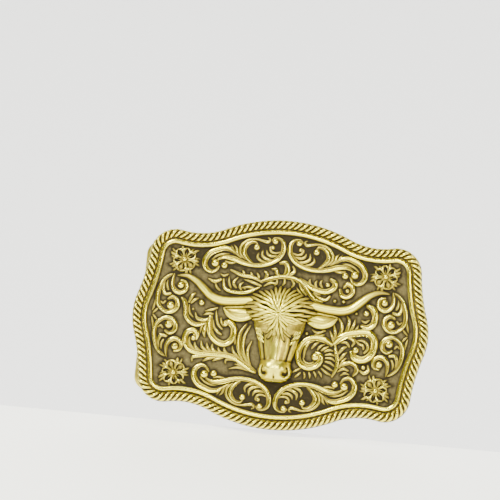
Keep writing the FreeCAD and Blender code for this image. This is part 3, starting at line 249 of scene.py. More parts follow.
RIGHT_FIELD = (
    vine(0.95, (17.5, -4.5), (15.5, -3.3), (12.5, -2.8), (10, -3.3), (8.1, -4.9), (7.1, -7), (7.0, -9.5),
         (8.1, -11.6), (10.5, -12.6), (13, -11.8), (14.3, -10), (14, -8.3), (12.8, -7.6)),
    vine(0.4, (8.7, -9.5), (9.4, -10.9), (11, -11.2), (12.3, -10.6)),
    leaf(0.5, (11.6, -3.9), (10.0, -4.7), (9.1, -6.8), (8.9, -9.2)), leaf(0.45, (13.4, -4.1),
         (12.2, -4.9), (11.2, -6.2)),
    leaf(0.45, (15.2, -4.6), (13.9, -5.4), (13.1, -6.5)), leaf(0.45, (16.6, -5.2), (15.4, -5.9),
         (14.4, -6.7)),
    leaf(0.45, (18.2, -6.5), (16.9, -6.3), (15.5, -6.9)), leaf(0.45, (18.8, -8.0), (17.4, -7.6),
         (15.9, -8.0)),
    leaf(0.45, (19, -9.7), (17.8, -8.9), (16, -9.0)), leaf(0.45, (19.1, -11.4), (17.6, -10.4), (16, -10.1)),
    leaf(0.45, (18.9, -13.0), (17.2, -12.1), (15.6, -11.4)), leaf(0.45, (18.3, -14.3), (16.8, -13.7),
         (15.0, -12.5)),
    vine(0.6, (18.6, -4.2), (19.2, -7), (19.9, -9.5), (19.7, -12), (18.6, -14.7)),
    leaf(0.55, (22.4, -4.8), (21.2, -5.5), (20, -7.2)), leaf(0.5, (22.6, -6.6), (21.6, -7.6), (20.5, -9.2)),
    leaf(0.5, (22.6, -8.4), (21.6, -9.6), (20.6, -11.7)),
    vine(0.65, (20.7, -11.2), (22.4, -10.2), (24.2, -9.8), (25.9, -10.7), (26.4, -12.3), (25.4, -13.8)),
    leaf(0.5, (20.3, -13.0), (22, -11.9), (23.5, -12.3)), leaf(0.4, (21.2, -14.2), (22.6, -13.3),
         (23.9, -13.6)),
    vine(0.55, (29.8, -10.2), (30.1, -11.8), (28.8, -12.8), (27.5, -12.1)),
    vine(1.15, (18.5, -4), (20, -2.3), (22, -0.9), (24.5, -0.2), (28, 0.3), (30.3, -0.6), (31.3, -2.8),
         (31, -5.5), (29.7, -7.6), (27.5, -8.6), (25.3, -8), (24.2, -6.4)),
    leaf(0.5, (25.9, -2.4), (27.6, -2.4), (29, -3.4), (29.2, -4.9), (28.3, -6.2)),
    leaf(0.45, (24.6, -1.9), (26.2, -3.4), (27.6, -3.9), (27.9, -5.0)),
    leaf(0.5, (21, -2.1), (23.3, -1.9), (24.7, -3), (24.2, -4.3)),
    leaf(0.5, (20.4, -3.6), (22.2, -3.4), (23.2, -4.6)),
    vine(1.0, (28, 9), (29.8, 8), (30.8, 5.8), (30.4, 3.3), (28.7, 1.9), (26.8, 2.3)),
    vine(0.45, (26.6, 4.0), (27.8, 3.6), (28.8, 4.4)),
    leaf(0.6, (19, 4.2), (20.1, 2.5), (20.2, 0), (19, -2.5)), leaf(0.55, (17.7, 1.9), (18.3, -0.4),
         (18.4, -2.8)),
    leaf(0.5, (16.6, -0.2), (17.4, -1.8), (18, -3.5)), leaf(0.6, (21.7, 5.0), (22.5, 3.6), (22.1, 0.8),
         (21.2, -1.2)),
    leaf(0.5, (24.4, 4.2), (24.0, 2.2), (23.0, 0.3)), leaf(0.4, (25.6, 2.6), (25.2, 1.4), (24.3, 0.4)),
    leaf(0.45, (10.7, -0.2), (12.5, -1.1), (15, -0.2)), leaf(0.4, (11.6, -1.6), (13.0, -2.0), (14.8, -1.6)),
    leaf(0.4, (5.5, -14.5), (6.8, -13.8), (8, -13)), leaf(0.4, (6.5, -16), (7.4, -15.3), (8.2, -14.5)),
    leaf(0.4, (9.6, -16.2), (9.8, -15.2), (9.4, -14.2)), leaf(0.4, (11.4, -15.9), (11.4, -14.9),
         (11.0, -14.0)),
    leaf(0.4, (13.4, -15.6), (13.2, -14.6), (12.6, -13.8)), leaf(0.4, (15.3, -15.3), (14.9, -14.3),
         (14.2, -13.6)),
)
RIGHT_FIELD_BALLS = (
    (12.6, -8.9, 1.35), (27.8, 6.5, 1.0), (24.6, 6.2, 0.55), (25.5, -5.6, 1.1), (9.1, -1.6, 0.6),
    (28.4, -10.9, 0.8),
)

TOP_FIELD = (
    leaf(0.85, (-1.7, 20.3), (0.0, 20.6), (0.9, 19), (0.7, 17.2), (0, 16.1)),
    leaf(0.65, (-4.1, 18.2), (-2.9, 18.1), (-2.4, 16.9), (-1.6, 16)),
    leaf(0.6, (2.6, 19.5), (3.2, 18.1), (2.4, 17.2), (1.5, 16.6)),
    leaf(0.6, (-6.5, 17.2), (-5.6, 16.4), (-6.2, 14.6)), leaf(0.5, (-8.9, 16.4), (-8.3, 15.5),
         (-8.4, 14.4)),
    vine(0.65, (-7.6, 13.7), (-4, 15.1), (-1, 15.9), (1.4, 15.9), (4, 15.5), (6.5, 14), (8.5, 11.6),
         (10.5, 9.6),
         (13, 8.9)),
    leaf(0.5, (-0.3, 13.2), (0.3, 14.2), (0.2, 15.3)), leaf(0.5, (2.7, 12.7), (3.4, 13.9), (2.7, 15)),
    leaf(0.45, (-2.8, 12.9), (-2.2, 13.9), (-2.2, 15)),
    leaf(0.5, (-6.3, 12.4), (-4.2, 13.6), (-2.2, 13.5)),
    vine(0.9, (5.2, 15.6), (7.8, 14.1), (10.4, 12.8), (13.8, 12.3), (16.2, 13.4), (16.8, 15.2),
         (15.4, 16.4)),
    leaf(0.5, (10.8, 15.6), (10.4, 14.5), (10.9, 13.4)), leaf(0.5, (12.4, 15.9), (12.0, 14.8),
         (12.6, 13.7)),
    leaf(0.45, (8.6, 16.0), (8.4, 15.2), (8.8, 14.2)),
    leaf(0.55, (10, 11.4), (12, 10.2), (14.2, 9.7), (15.4, 10.9)), leaf(0.4, (9.3, 12.8), (10.6, 11.6),
         (12.2, 11.2)),
    vine(0.75, (18.6, 13.4), (19.3, 11.6), (21.2, 11.2), (22.7, 12.8), (22.3, 14.7), (20.7, 15.3),
         (19.8, 14.2)),
    leaf(0.5, (5, 14.4), (6.1, 12.4), (7.6, 10.8)), leaf(0.4, (4.4, 12.9), (5.2, 11.7), (6.4, 10.6)),
    vine(0.6, (-7, 13.6), (-10, 14.9), (-14, 15.4), (-17.5, 16.7)),
    leaf(0.5, (-12.9, 14.0), (-10, 13.3), (-7.3, 12.4)),
    vine(0.6, (-19.6, 13.4), (-19.1, 10.9), (-16.9, 9.7), (-13, 9.6), (-10.4, 10.4), (-7.8, 11.8)),
    leaf(0.5, (-15, 14.5), (-16.3, 12.7), (-15.4, 11.2)), leaf(0.45, (-13.2, 13.0), (-14.2, 11.8),
         (-13.6, 10.6)),
    leaf(0.45, (-13.5, 11.2), (-11, 11.7), (-9, 11.2)), leaf(0.45, (-17.9, 14.4), (-17.7, 12.4),
         (-17.0, 10.9)),
    leaf(0.6, (-24.5, 13.2), (-22.5, 12.5), (-20.5, 13.3)), leaf(0.5, (-22.2, 12.2), (-21.7, 10.8),
         (-20.6, 9.8)),
    leaf(0.5, (-11.0, 16.4), (-10.6, 15.7), (-11.2, 14.9)), leaf(0.5, (-13.6, 16.8), (-13.2, 16.1),
         (-13.8, 15.3)),
    leaf(0.4, (-20.9, 15.2), (-19.6, 14.6), (-18.4, 15.2)),
)
TOP_FIELD_BALLS = (
    (17.2, 9.6, 0.65), (20.1, 9.6, 0.65), (14.4, 14.6, 0.85), (-12.4, 11.0, 0.4), (21.0, 13.2, 0.75),
)

HORN = (
    (8.0, 7.6, 1.45), (11.5, 7.1, 1.5), (15.5, 6.6, 1.55), (19.5, 6.5, 1.6), (22.8, 7.5, 1.55),
    (25.6, 9.8, 1.45), (28.2, 12.0, 1.2), (31.4, 13.5, 0.85), (34.6, 13.4, 0.4),
)
EAR_UPPER = ((9.6, 5.2, 0.3), (12.0, 5.1, 0.32), (14.6, 4.8, 0.34), (17.0, 4.6, 0.3), (18.6, 4.3, 0.15))
EAR_LOWER = ((9.8, 1.9, 0.75), (12.0, 1.2, 0.95), (14.4, 1.2, 1.0), (16.8, 2.2, 0.85), (18.4, 3.8, 0.3))
EAR_HOLLOW = ((9.8, 3.4, 1.5), (12.0, 3.1, 1.75), (14.4, 3.0, 1.7), (16.4, 3.4, 1.2), (18.0, 4.0, 0.5))

# (direction in degrees, length, half width) of a petal, and the same for the small leaves behind
PETALS = (
    (100, 3.6, 1.25), (150, 3.7, 1.45), (222, 3.9, 1.9), (290, 4.0, 1.9), (352, 3.6, 1.4), (48, 3.8, 1.4),
)
SEPALS = (
    (124, 4.6, 0.5), (184, 4.9, 0.7), (198, 5.6, 0.5), (256, 5.2, 0.7), (322, 5.0, 0.65), (20, 5.3, 0.6),
    (74, 4.9, 0.55), (140, 5.6, 0.55), (34, 5.7, 0.5), (240, 5.6, 0.5), (308, 5.5, 0.5), (172, 5.3, 0.45),
    (334, 5.6, 0.45), (6, 4.8, 0.5),
)
FLOWER = (32.3, 18.2)

# (up, half width, height above the plate) of the head, from the crown of the skull to the chin
HEAD = (
    (10.0, 4.0, 1.6), (8.0, 7.2, 2.8), (5.0, 8.6, 3.6), (2.0, 8.6, 3.9), (-0.6, 8.2, 4.1), (-2.4, 7.5, 4.3),
    (-4.4, 6.8, 4.5), (-7.0, 6.2, 4.6), (-9.6, 5.5, 4.5), (-11.4, 5.0, 4.5), (-12.4, 5.0, 4.9),
    (-14.3, 5.5, 5.3),
    (-16.2, 5.2, 4.7), (-17.5, 4.0, 3.5), (-18.2, 2.6, 1.8),
)
# rounded forms of the face: (across, up, reach across, reach up, height)
PAIRED_FORMS = (
    (2.7, -14.0, 2.3, 2.1, 0.5), (3.5, -16.6, 1.7, 1.0, 0.3), (3.35, -15.9, 1.15, 1.0, -2.4),
    (4.15, -14.75, 0.5, 0.9, -1.3), (3.9, -13.9, 0.45, 0.5, -0.7), (5.6, -3.9, 1.3, 0.8, -0.75),
    (5.9, -2.2, 1.7, 0.8, 0.35), (4.6, -6.4, 0.8, 2.2, -0.3),
)
MIDDLE_FORMS = ((0, -13.0, 2.2, 2.0, 0.35), (0, -17.1, 0.35, 1.0, -0.5))
# ridges and grooves along the nose: (place from its middle, reach, height)
NOSE_FORMS = ((0.0, 1.5, 0.35), (2.3, 0.6, -0.2), (4.1, 0.5, -0.38), (4.9, 0.5, 0.12))
MOUTH_UP = -17.9
HEAD_LOW, HEAD_HIGH, HEAD_STEP = (-9.4, -19.2), (9.4, 9.2), 0.16  # the grids that surfaces are made on
HAIR_LOW, HAIR_HIGH, HAIR_STEP = (-12.0, -7.4), (12.0, 12.4), 0.3
GROUND_STEP = 0.35
HAIR_EDGE = (
    (0.4, 11.0), (3.6, 10.8), (6.6, 10.1), (9.0, 8.7), (10.6, 7.1), (11.0, 5.6), (10.3, 3.7), (9.4, 2.1),
    (7.8, 0.9),
    (5.6, -0.3), (4.1, -1.7), (3.4, -3.6), (2.6, -5.3), (1.2, -6.1), (-1.0, -6.0), (-2.7, -5.5),
    (-3.6, -3.6),
    (-4.3, -1.6), (-6.4, -0.3), (-8.6, 1.1), (-10.0, 2.7), (-11.0, 4.7), (-11.1, 6.3), (-9.8, 8.2),
    (-7.2, 9.9),
    (-3.6, 10.8),
)
WHORL = (-0.2, 3.2)


# ---------------------------------------------------------------------------------------------
# Modelling helpers.
def choose(obj):
    """Makes one object the only selected one, and the active one."""
    bpy.ops.object.select_all(action="DESELECT")
    obj.select_set(True)
    bpy.context.view_layer.objects.active = obj
    return obj


def fitted(stroke, drop=0.0):
    """A drawn stroke stretched to the field inside the rim, after a shift down."""
    across = FIELD_HALF_WIDTH / DRAWN_HALF_WIDTH
    up = FIELD_HALF_HEIGHT / DRAWN_HALF_HEIGHT
    return tuple((x * across, (y - drop) * up, half * min(across, up)) for x, y, half in stroke)


def smooth_line(points, step, closed=False):
    """Samples along a smooth line through points, with every value of a point carried along."""
    samples = []
    count = len(points)
    spans = count if closed else count - 1
    for i in range(spans):
        if closed:
            before, start, end, after = (points[(i + k) % count] for k in (-1, 0, 1, 2))
        else:
            before, start, end, after = (points[min(max(i + k, 0), count - 1)] for k in (-1, 0, 1, 2))
        steps = max(2, round(math.dist(start[:2], end[:2]) / step))
        for j in range(steps):
            t = j / steps
            samples.append(tuple(
                0.5 * (
                    2 * b + (c - a) * t + (2 * a - 5 * b + 4 * c - d) * t * t
                    + (3 * b - a - 3 * c + d) * t ** 3
                )
                for a, b, c, d in zip(before, start, end, after)
            ))
    if not closed:
        samples.append(points[-1])
    return samples


def with_round_ends(samples):
    """A sampled stroke (x, y, half, level) that goes on at both ends, narrowing to a round tip."""
    def tip(end, inner):
        way = Vector((end[0] - inner[0], end[1] - inner[1]))
        way.normalize()
        caps = []
        for far in (0.4, 0.7, 0.9, 1.0):
            half = max(end[2] * math.sqrt(1 - far * far), 0.02)
            caps.append((end[0] + way.x * end[2] * far, end[1] + way.y * end[2] * far, half, end[3]))
        return caps

    return tip(samples[0], samples[1])[::-1] + list(samples) + tip(samples[-1], samples[-2])


def inside_rim(stroke):
    """A stroke with its points moved in where its sides would run into the rim."""
    inset = HALF_WIDTH - FIELD_HALF_WIDTH
    edge = outline(inset, 900)
    inner = outline(inset + 1.0, 900)
    moved = []
    for x, y, half in stroke:
        far_in = np.hypot(inner[:, 0] - x, inner[:, 1] - y)
        far = np.hypot(edge[:, 0] - x, edge[:, 1] - y)
        near = int(far.argmin())
        way = inner[int(far_in.argmin())] - edge[near]
        way = way / np.hypot(*way)
        depth = float((np.array([x, y]) - edge[near]) @ way)
        need = half + 0.12
        if depth < need:
            x, y = (np.array([x, y]) + way * (need - depth)).tolist()
        moved.append((x, y, half))
    return tuple(moved)


def section(name, shape):
    """A closed cross-section for strokes, drawn for a half width of one millimetre."""
    bpy.ops.object.select_all(action="DESELECT")
    bpy.ops.curve.primitive_bezier_circle_add(radius=MM)
    obj = bpy.context.object
    obj.name = name
    curve = obj.data
    curve.dimensions = "2D"
    curve.splines.clear()
    ring = curve.splines.new("POLY")
    ring.points.add(len(shape) - 1)
    for point, (x, y) in zip(ring.points, shape):
        point.co = (x * MM, y * MM, 0, 1)
    ring.use_cyclic_u = True
    return obj


ROUND_TOP = 0.94
ROUND_ARCH = (
    (1, 0.05), (0.93, 0.34), (0.74, 0.64), (0.42, 0.86), (0, ROUND_TOP), (-0.42, 0.86), (-0.74, 0.64),
    (-0.93, 0.34), (-1, 0.05),
)
GROOVED_ARCH = ((1, 0.02), (0.93, 0.36), (0.8, 0.52), (0.64, 0.5), (0.5, 0.34), (0.36, 0.54), (0.14, 0.84),
                (-0.2, 0.96), (-0.56, 0.86), (-0.84, 0.56), (-1, 0.05))


def arch(name, shape, tall=1.0, foot=-0.25):
    """A cross-section with a flat foot below the plate's face and an arched top."""
    return section(name, ((-1, foot), (1, foot)) + tuple((x, y * tall) for x, y in shape))


def other_way(shape):
    """The same half of a cross-section with its sides changed over."""
    return tuple((-x, y) for x, y in reversed(shape))


def swept(name, profile, strokes, weld, caps=True, closed=False, twist=0.0):
    """A mesh of strokes swept with a cross-section. A stroke is (x, y, half width, level) samples."""
    bpy.ops.object.select_all(action="DESELECT")
    bpy.ops.curve.primitive_bezier_curve_add()
    obj = bpy.context.object
    obj.name = name
    curve = obj.data
    curve.dimensions = "3D"
    curve.twist_mode = "Z_UP"
    curve.splines.clear()
    for stroke in strokes:
        line = curve.splines.new("POLY")
        line.points.add(len(stroke) - 1)
        for i, (point, (x, y, half, level)) in enumerate(zip(line.points, stroke)):
            point.co = (x * MM, y * MM, level * MM, 1)
            point.radius = half
            point.tilt = twist * i
        line.use_cyclic_u = closed
    curve.bevel_mode = "OBJECT"
    curve.bevel_object = profile
    curve.use_fill_caps = caps
    choose(obj)
    bpy.ops.object.convert(target="MESH")
    outwards(obj, weld)
    return obj


def stroke_object(name, profile, strokes):
    """A closed mesh of separate strokes with capped ends."""
    return swept(name, profile, strokes, CAP_WELD)


def outwards(obj, weld=0.0):
    """Joins vertices closer than weld, in millimetres, and turns every face outwards."""
    choose(obj)
    bpy.ops.object.mode_set(mode="EDIT")
    bpy.ops.mesh.select_all(action="SELECT")
    if weld:
        bpy.ops.mesh.remove_doubles(threshold=weld * MM)
    bpy.ops.mesh.normals_make_consistent(inside=False)
    bpy.ops.object.mode_set(mode="OBJECT")


def curl_side(stroke):
    """Which side the inside of a stroke's curl is on: 1 for its left, -1 for its right."""
    turn = 0.0
    for a, b, c in zip(stroke, stroke[1:], stroke[2:]):
        turn += (b[0] - a[0]) * (c[1] - b[1]) - (b[1] - a[1]) * (c[0] - b[0])
    return 1 if turn > 0 else -1


def profiles():
    """The cross-sections that strokes are swept with."""
    return {
        "plain": arch("plain_section", ROUND_ARCH),
        1: arch("left_grooved_section", other_way(GROOVED_ARCH)),
        -1: arch("right_grooved_section", GROOVED_ARCH),
    }


def named(obj, name):
    """An object with its own and its mesh's name set."""
    obj.name = name
    obj.data.name = name
    return obj


def joined(name, objects):
    """Several mesh objects made one."""
    bpy.ops.object.select_all(action="DESELECT")
    for obj in objects:
        obj.select_set(True)
    bpy.context.view_layer.objects.active = objects[0]
    if len(objects) > 1:
        bpy.ops.object.join()
    return named(objects[0], name)


def ball(x, y, radius, level=-0.1, tall=0.95):
    """A round boss that stands on the plate's face."""
    bpy.ops.object.select_all(action="DESELECT")
    bpy.ops.mesh.primitive_uv_sphere_add(
        segments=18, ring_count=11, radius=radius * MM, location=(x * MM, y * MM, level * MM),
    )
    obj = bpy.context.object
    obj.scale = (1, 1, tall)
    bpy.ops.object.transform_apply(location=True, rotation=True, scale=True)
    return obj


def remove(objects):
    """Deletes helper objects."""
    bpy.ops.object.select_all(action="DESELECT")
    for obj in objects:
        obj.select_set(True)
    bpy.ops.object.delete()


def scroll_work(name, strokes, balls, drop=0.0, fullness=1.0):
    """A group of scrolls, leaves and balls, drawn face up about the middle of the plate."""
    step = bpy.context.scene.buckle_sizes.stroke_step
    shapes = profiles()
    groups = {}
    for stroke in strokes:
        stroke = tuple((x, y, half * fullness) for x, y, half in inside_rim(fitted(stroke, drop)))
        broad = max(half for x, y, half in stroke) > 0.68
        kind = curl_side(stroke) if broad else "plain"
        samples = smooth_line([point + (0.0,) for point in stroke], step)
        groups.setdefault(kind, []).append(with_round_ends(samples))
    parts = [stroke_object(name, shapes[kind], groups[kind]) for kind in groups]
    parts += [ball(x, y, radius) for x, y, radius in inside_rim(fitted(balls, drop))]
    remove(shapes.values())
    return joined(name, parts)


def mark_wear_and_shade(obj, values):
    """Stores each vertex's level from dark patina to rubbed brass, which on the head and the ground also
    holds painted shade.
    """
    layer = obj.data.attributes.new("crown", "FLOAT", "POINT")
    layer.data.foreach_set("value", np.clip(values, 0.0, 1.0).astype(np.float32))


def positions(obj):
    """A mesh's vertices in millimetres."""
    flat = np.zeros(len(obj.data.vertices) * 3, np.float32)
    obj.data.vertices.foreach_get("co", flat)
    return flat.reshape(-1, 3) / MM


def upwardness(obj):
    """How far each vertex of a face-up piece looks up, from 0 to 1."""
    flat = np.zeros(len(obj.data.vertices) * 3, np.float32)
    obj.data.vertices.foreach_get("normal", flat)
    return np.clip(flat.reshape(-1, 3)[:, 2], 0.0, 1.0)


def rub(obj, full_height=0.75, floor_level=0.0):
    """Marks the tops of low relief as rubbed."""
    height = np.clip((positions(obj)[:, 2] - floor_level) / full_height, 0.0, 1.0)
    mark_wear_and_shade(obj, height * (0.35 + 0.65 * upwardness(obj) ** 1.5))


def mirrored_copy(obj, name, across, up):
    """A copy with its own mesh, mirrored to another quarter of the plate."""
    choose(obj)
    bpy.ops.object.duplicate(linked=False)
    copy = named(bpy.context.object, name)
    copy.scale = (across, up, 1)
    bpy.ops.object.transform_apply(location=False, rotation=False, scale=True)
    if across * up < 0:
        outwards(copy)
    return copy


def stand(obj, nodes, slot, finish, smooth=50):
    """Turns a face-up piece to the front of the plate, finishes it and puts it on the plate."""
    choose(obj)
    obj.rotation_euler = (math.pi / 2, 0, 0)
    obj.location = (MIDDLE, FRONT, 0)
    bpy.ops.object.transform_apply(location=True, rotation=True, scale=True)
    bpy.ops.object.shade_smooth_by_angle(angle=math.radians(smooth))
    obj.data.materials.clear()
    obj.data.materials.append(finish)
    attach(obj, "plate")
    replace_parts(obj, *nodes)
    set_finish(obj, slot)
    return obj


def quarters():
    """The four quarters of the plate: signs across and up, and the words for them."""
    return ((1, 1, "upper_right"), (-1, 1, "upper_left"), (1, -1, "lower_right"), (-1, -1, "lower_left"))


# ---------------------------------------------------------------------------------------------
# The plate's outline, as tangent arcs.
CROWN_END = 27.3
CROWN_SAG = 4.4
LOBE_RADIUS = 20.0
CORNER_IN = 12.0
CORNER_DOWN = 13.9
CORNER_RADIUS = 8.15
SHOULDER_RADIUS = 22.0
FLANK_RADIUS = 60.0


def circle_crossing(first, first_radius, second, second_radius):
    """The crossing of two circles that lies to the left of the way from first to second."""
    way = second - first
    span = way.length
    along = (first_radius ** 2 - second_radius ** 2 + span ** 2) / (2 * span)
    aside = math.sqrt(first_radius ** 2 - along ** 2)
    return first + way * (along / span) + Vector((-way.y, way.x)) / span * aside


def outline(inset, count):
    """Evenly spaced points of the plate's outline, inset, clockwise from the top, in millimetres."""
    crown_span = HALF_WIDTH - CROWN_END
    crown_radius = (crown_span ** 2 + CROWN_SAG ** 2) / (2 * CROWN_SAG)
    crown = Vector((0, HALF_HEIGHT - crown_radius))
    lobe = Vector((HALF_WIDTH - LOBE_RADIUS, 0))
    corner = Vector((HALF_WIDTH - CORNER_IN, HALF_HEIGHT - CORNER_DOWN))
    shoulder = circle_crossing(
        crown, crown_radius + SHOULDER_RADIUS, corner, CORNER_RADIUS + SHOULDER_RADIUS,
    )
    flank = circle_crossing(corner, CORNER_RADIUS + FLANK_RADIUS, lobe, LOBE_RADIUS + FLANK_RADIUS)
    arcs = (
        (crown, crown_radius - inset, crown + Vector((0, 1)), shoulder),
        (shoulder, SHOULDER_RADIUS + inset, crown, corner),
        (corner, CORNER_RADIUS - inset, shoulder, flank),
        (flank, FLANK_RADIUS + inset, corner, lobe),
        (lobe, LOBE_RADIUS - inset, flank, lobe + Vector((1, 0))),
    )
    quarter = []
    for centre, radius, first, last in arcs:
        start = math.atan2(first.y - centre.y, first.x - centre.x)
        turn = math.atan2(last.y - centre.y, last.x - centre.x) - start
        turn = (turn + math.pi) % (TURN) - math.pi
        steps = max(4, round(abs(turn) * radius / 0.1))
        for i in range(steps):
            angle = start + turn * i / steps
            quarter.append((centre.x + radius * math.cos(angle), centre.y + radius * math.sin(angle)))
    end = (HALF_WIDTH - inset, 0.0)
    half = quarter + [end] + [(x, -y) for x, y in reversed(quarter)]
    ring = half + [(-x, y) for x, y in reversed(half[1:-1])]
    ring = np.array(ring + [ring[0]])
    far = np.concatenate([[0], np.cumsum(np.hypot(*np.diff(ring, axis=0).T))])
    stops = np.linspace(0, far[-1], count, endpoint=False)
    return np.stack([np.interp(stops, far, ring[:, 0]), np.interp(stops, far, ring[:, 1])], axis=1)


# ---------------------------------------------------------------------------------------------
# Materials.
class Wire:
    """An output socket that takes part in arithmetic."""

    def __init__(self, finish, socket):
        self.finish = finish
        self.socket = socket

    def math(self, operation, *values):
        return self.finish.node("ShaderNodeMath", {"operation": operation}, dict(enumerate(values)))

    def __add__(self, other):
        return self.math("ADD", self, other)

    def __sub__(self, other):
        return self.math("SUBTRACT", self, other)

    def __mul__(self, other):
        return self.math("MULTIPLY", self, other)


class Finish:
    """A material, with one method that adds any node to it."""

    def __init__(self, name):
        self.material = bpy.data.materials.new(name)
        self.material.use_nodes = True
        self.tree = self.material.node_tree
        self.tree.nodes.clear()

    def node(self, kind, settings=None, values=None, output=0):
        node = self.tree.nodes.new(kind)
        for key, value in (settings or {}).items():
            setattr(node, key, value)
        for key, value in (values or {}).items():
            if isinstance(value, Wire):
                self.tree.links.new(value.socket, node.inputs[key])
            else:
                node.inputs[key].default_value = value
        return Wire(self, node.outputs[output])

    def finished(self, shader):
        """The material, with a shader at its surface."""
        out = self.tree.nodes.new("ShaderNodeOutputMaterial")
        self.tree.links.new(shader.socket, out.inputs["Surface"])
        return self.material

    def spread(self, value, low, high, start=0.0, end=1.0):
        """A value eased from start to end as it goes from low to high."""
        return self.node(
            "ShaderNodeMapRange", {"interpolation_type": "SMOOTHSTEP"},
            {"Value": value, "From Min": low, "From Max": high, "To Min": start, "To Max": end},
        )

    def blend(self, share, first, second):
        """Two colours mixed by a share."""
        first = tuple(first) + (1,) if not isinstance(first, Wire) else first
        second = tuple(second) + (1,) if not isinstance(second, Wire) else second
        return self.node("ShaderNodeMix", {"data_type": "RGBA"}, {0: share, 6: first, 7: second}, 2)

    def noise(self, place, scale, detail=3.0, rough=0.55):
        """A cloudy value about one half, with scale in waves per metre."""
        return self.node(
            "ShaderNodeTexNoise", {"noise_dimensions": "3D"},
            {"Vector": place, "Scale": scale, "Detail": detail, "Roughness": rough},
        )


def aged_brass(name, rubbed=None, reach=0.0, ground=False, bump=0.1, polish=0.2):
    """Brass with patina in its hollows. Rubbed is a level for pieces without a marked crown."""
    colours = bpy.context.scene.buckle_colours
    finish = Finish(name)
    place = finish.node("ShaderNodeTexCoord", output=3)
    cloud = finish.noise(place, 260.0, 3.0)
    speck = finish.noise(place, 1500.0, 4.0, 0.65)
    grain = finish.noise(place, 5200.0, 2.0)
    # The crown attribute holds patina and wear, and on the head and the ground it also holds painted shade.
    if rubbed is None:
        crown = finish.node("ShaderNodeAttribute", {"attribute_name": "crown"}, output=2)
    else:
        crown = finish.noise(place, 120.0, 2.0) * 0.2 + (rubbed - 0.1)
    level = crown + (cloud - 0.5) * 0.3 + (speck - 0.5) * 0.35 + reach
    low = finish.spread(level, 0.12, 0.55)
    high = finish.spread(level, 0.5, 0.95)
    middle = tuple(colours.ground if ground else colours.middle)
    base = finish.blend(low, tuple(colours.dark), middle)
    base = finish.blend(high, base, tuple(colours.bright))
    rough = finish.spread(level, 0.2, 0.9, 0.62, polish) + (grain - 0.5) * 0.12
    metal = finish.spread(level, 0.1, 0.5, 0.35, 1.0)
    height = speck * 0.6 + grain * 0.4
    normal = finish.node("ShaderNodeBump", None, {"Strength": bump, "Distance": 0.0002, "Height": height})
    shader = finish.node(
        "ShaderNodeBsdfPrincipled", None,
        {
            "Base Color": base, "Roughness": rough, "Metallic": metal, "Specular IOR Level": 0.25,
            "Normal": normal,
        },
    )
    return finish.finished(shader)


def plain_material(name, tone):
    """A matt studio surface with a faint mottle."""
    finish = Finish(name)
    place = finish.node("ShaderNodeTexCoord", output=3)
    base = finish.blend(finish.noise(place, 8.0), tone, tuple(value * 0.985 for value in tone))
    shader = finish.node(
        "ShaderNodeBsdfPrincipled", None,
        {
            "Base Color": base, "Roughness": 0.9, "Emission Color": (1, 1, 1, 1),
            "Emission Strength": STUDIO_GLOW,
        },
    )
    return finish.finished(shader)


def finish_named(name, **settings):
    """A brass finish, made once."""
    aged = "aged_" + name
    return bpy.data.materials.get(aged) or aged_brass(aged, **settings)


# ---------------------------------------------------------------------------------------------
# Operators.
class BUCKLE_OT_scrolls(bpy.types.Operator):
    """Models the crest and side scrolls of the four quarters and the three fields of leaves"""

    bl_idname = "buckle.scrolls"
    bl_label = "Scrolls"

    def execute(self, context):
        finish = finish_named("relief_brass", reach=0.06)
        for stem, strokes, balls in (
            ("crest_scroll_", CREST, CREST_BALLS), ("side_scroll_", SIDE, SIDE_BALLS),
        ):
            first = scroll_work(stem + "master", strokes, balls, 0.0, 1.05)
            rub(first)
            for across, up, words in quarters():
                copy = mirrored_copy(first, stem + words + "_relief", across, up)
                stand(copy, [stem + words], "relief_brass", finish)
            remove([first])
        for name, strokes, balls in (
            ("field_scroll_left", LEFT_FIELD, LEFT_FIELD_BALLS),
            ("field_scroll_right", RIGHT_FIELD, RIGHT_FIELD_BALLS),
            ("field_scroll_top", TOP_FIELD, TOP_FIELD_BALLS),
        ):
            piece = scroll_work(name + "_relief", strokes, balls, FIELD_DROP, 1.12)
            rub(piece)
            stand(piece, [name], "relief_brass", finish)
        return {"FINISHED"}


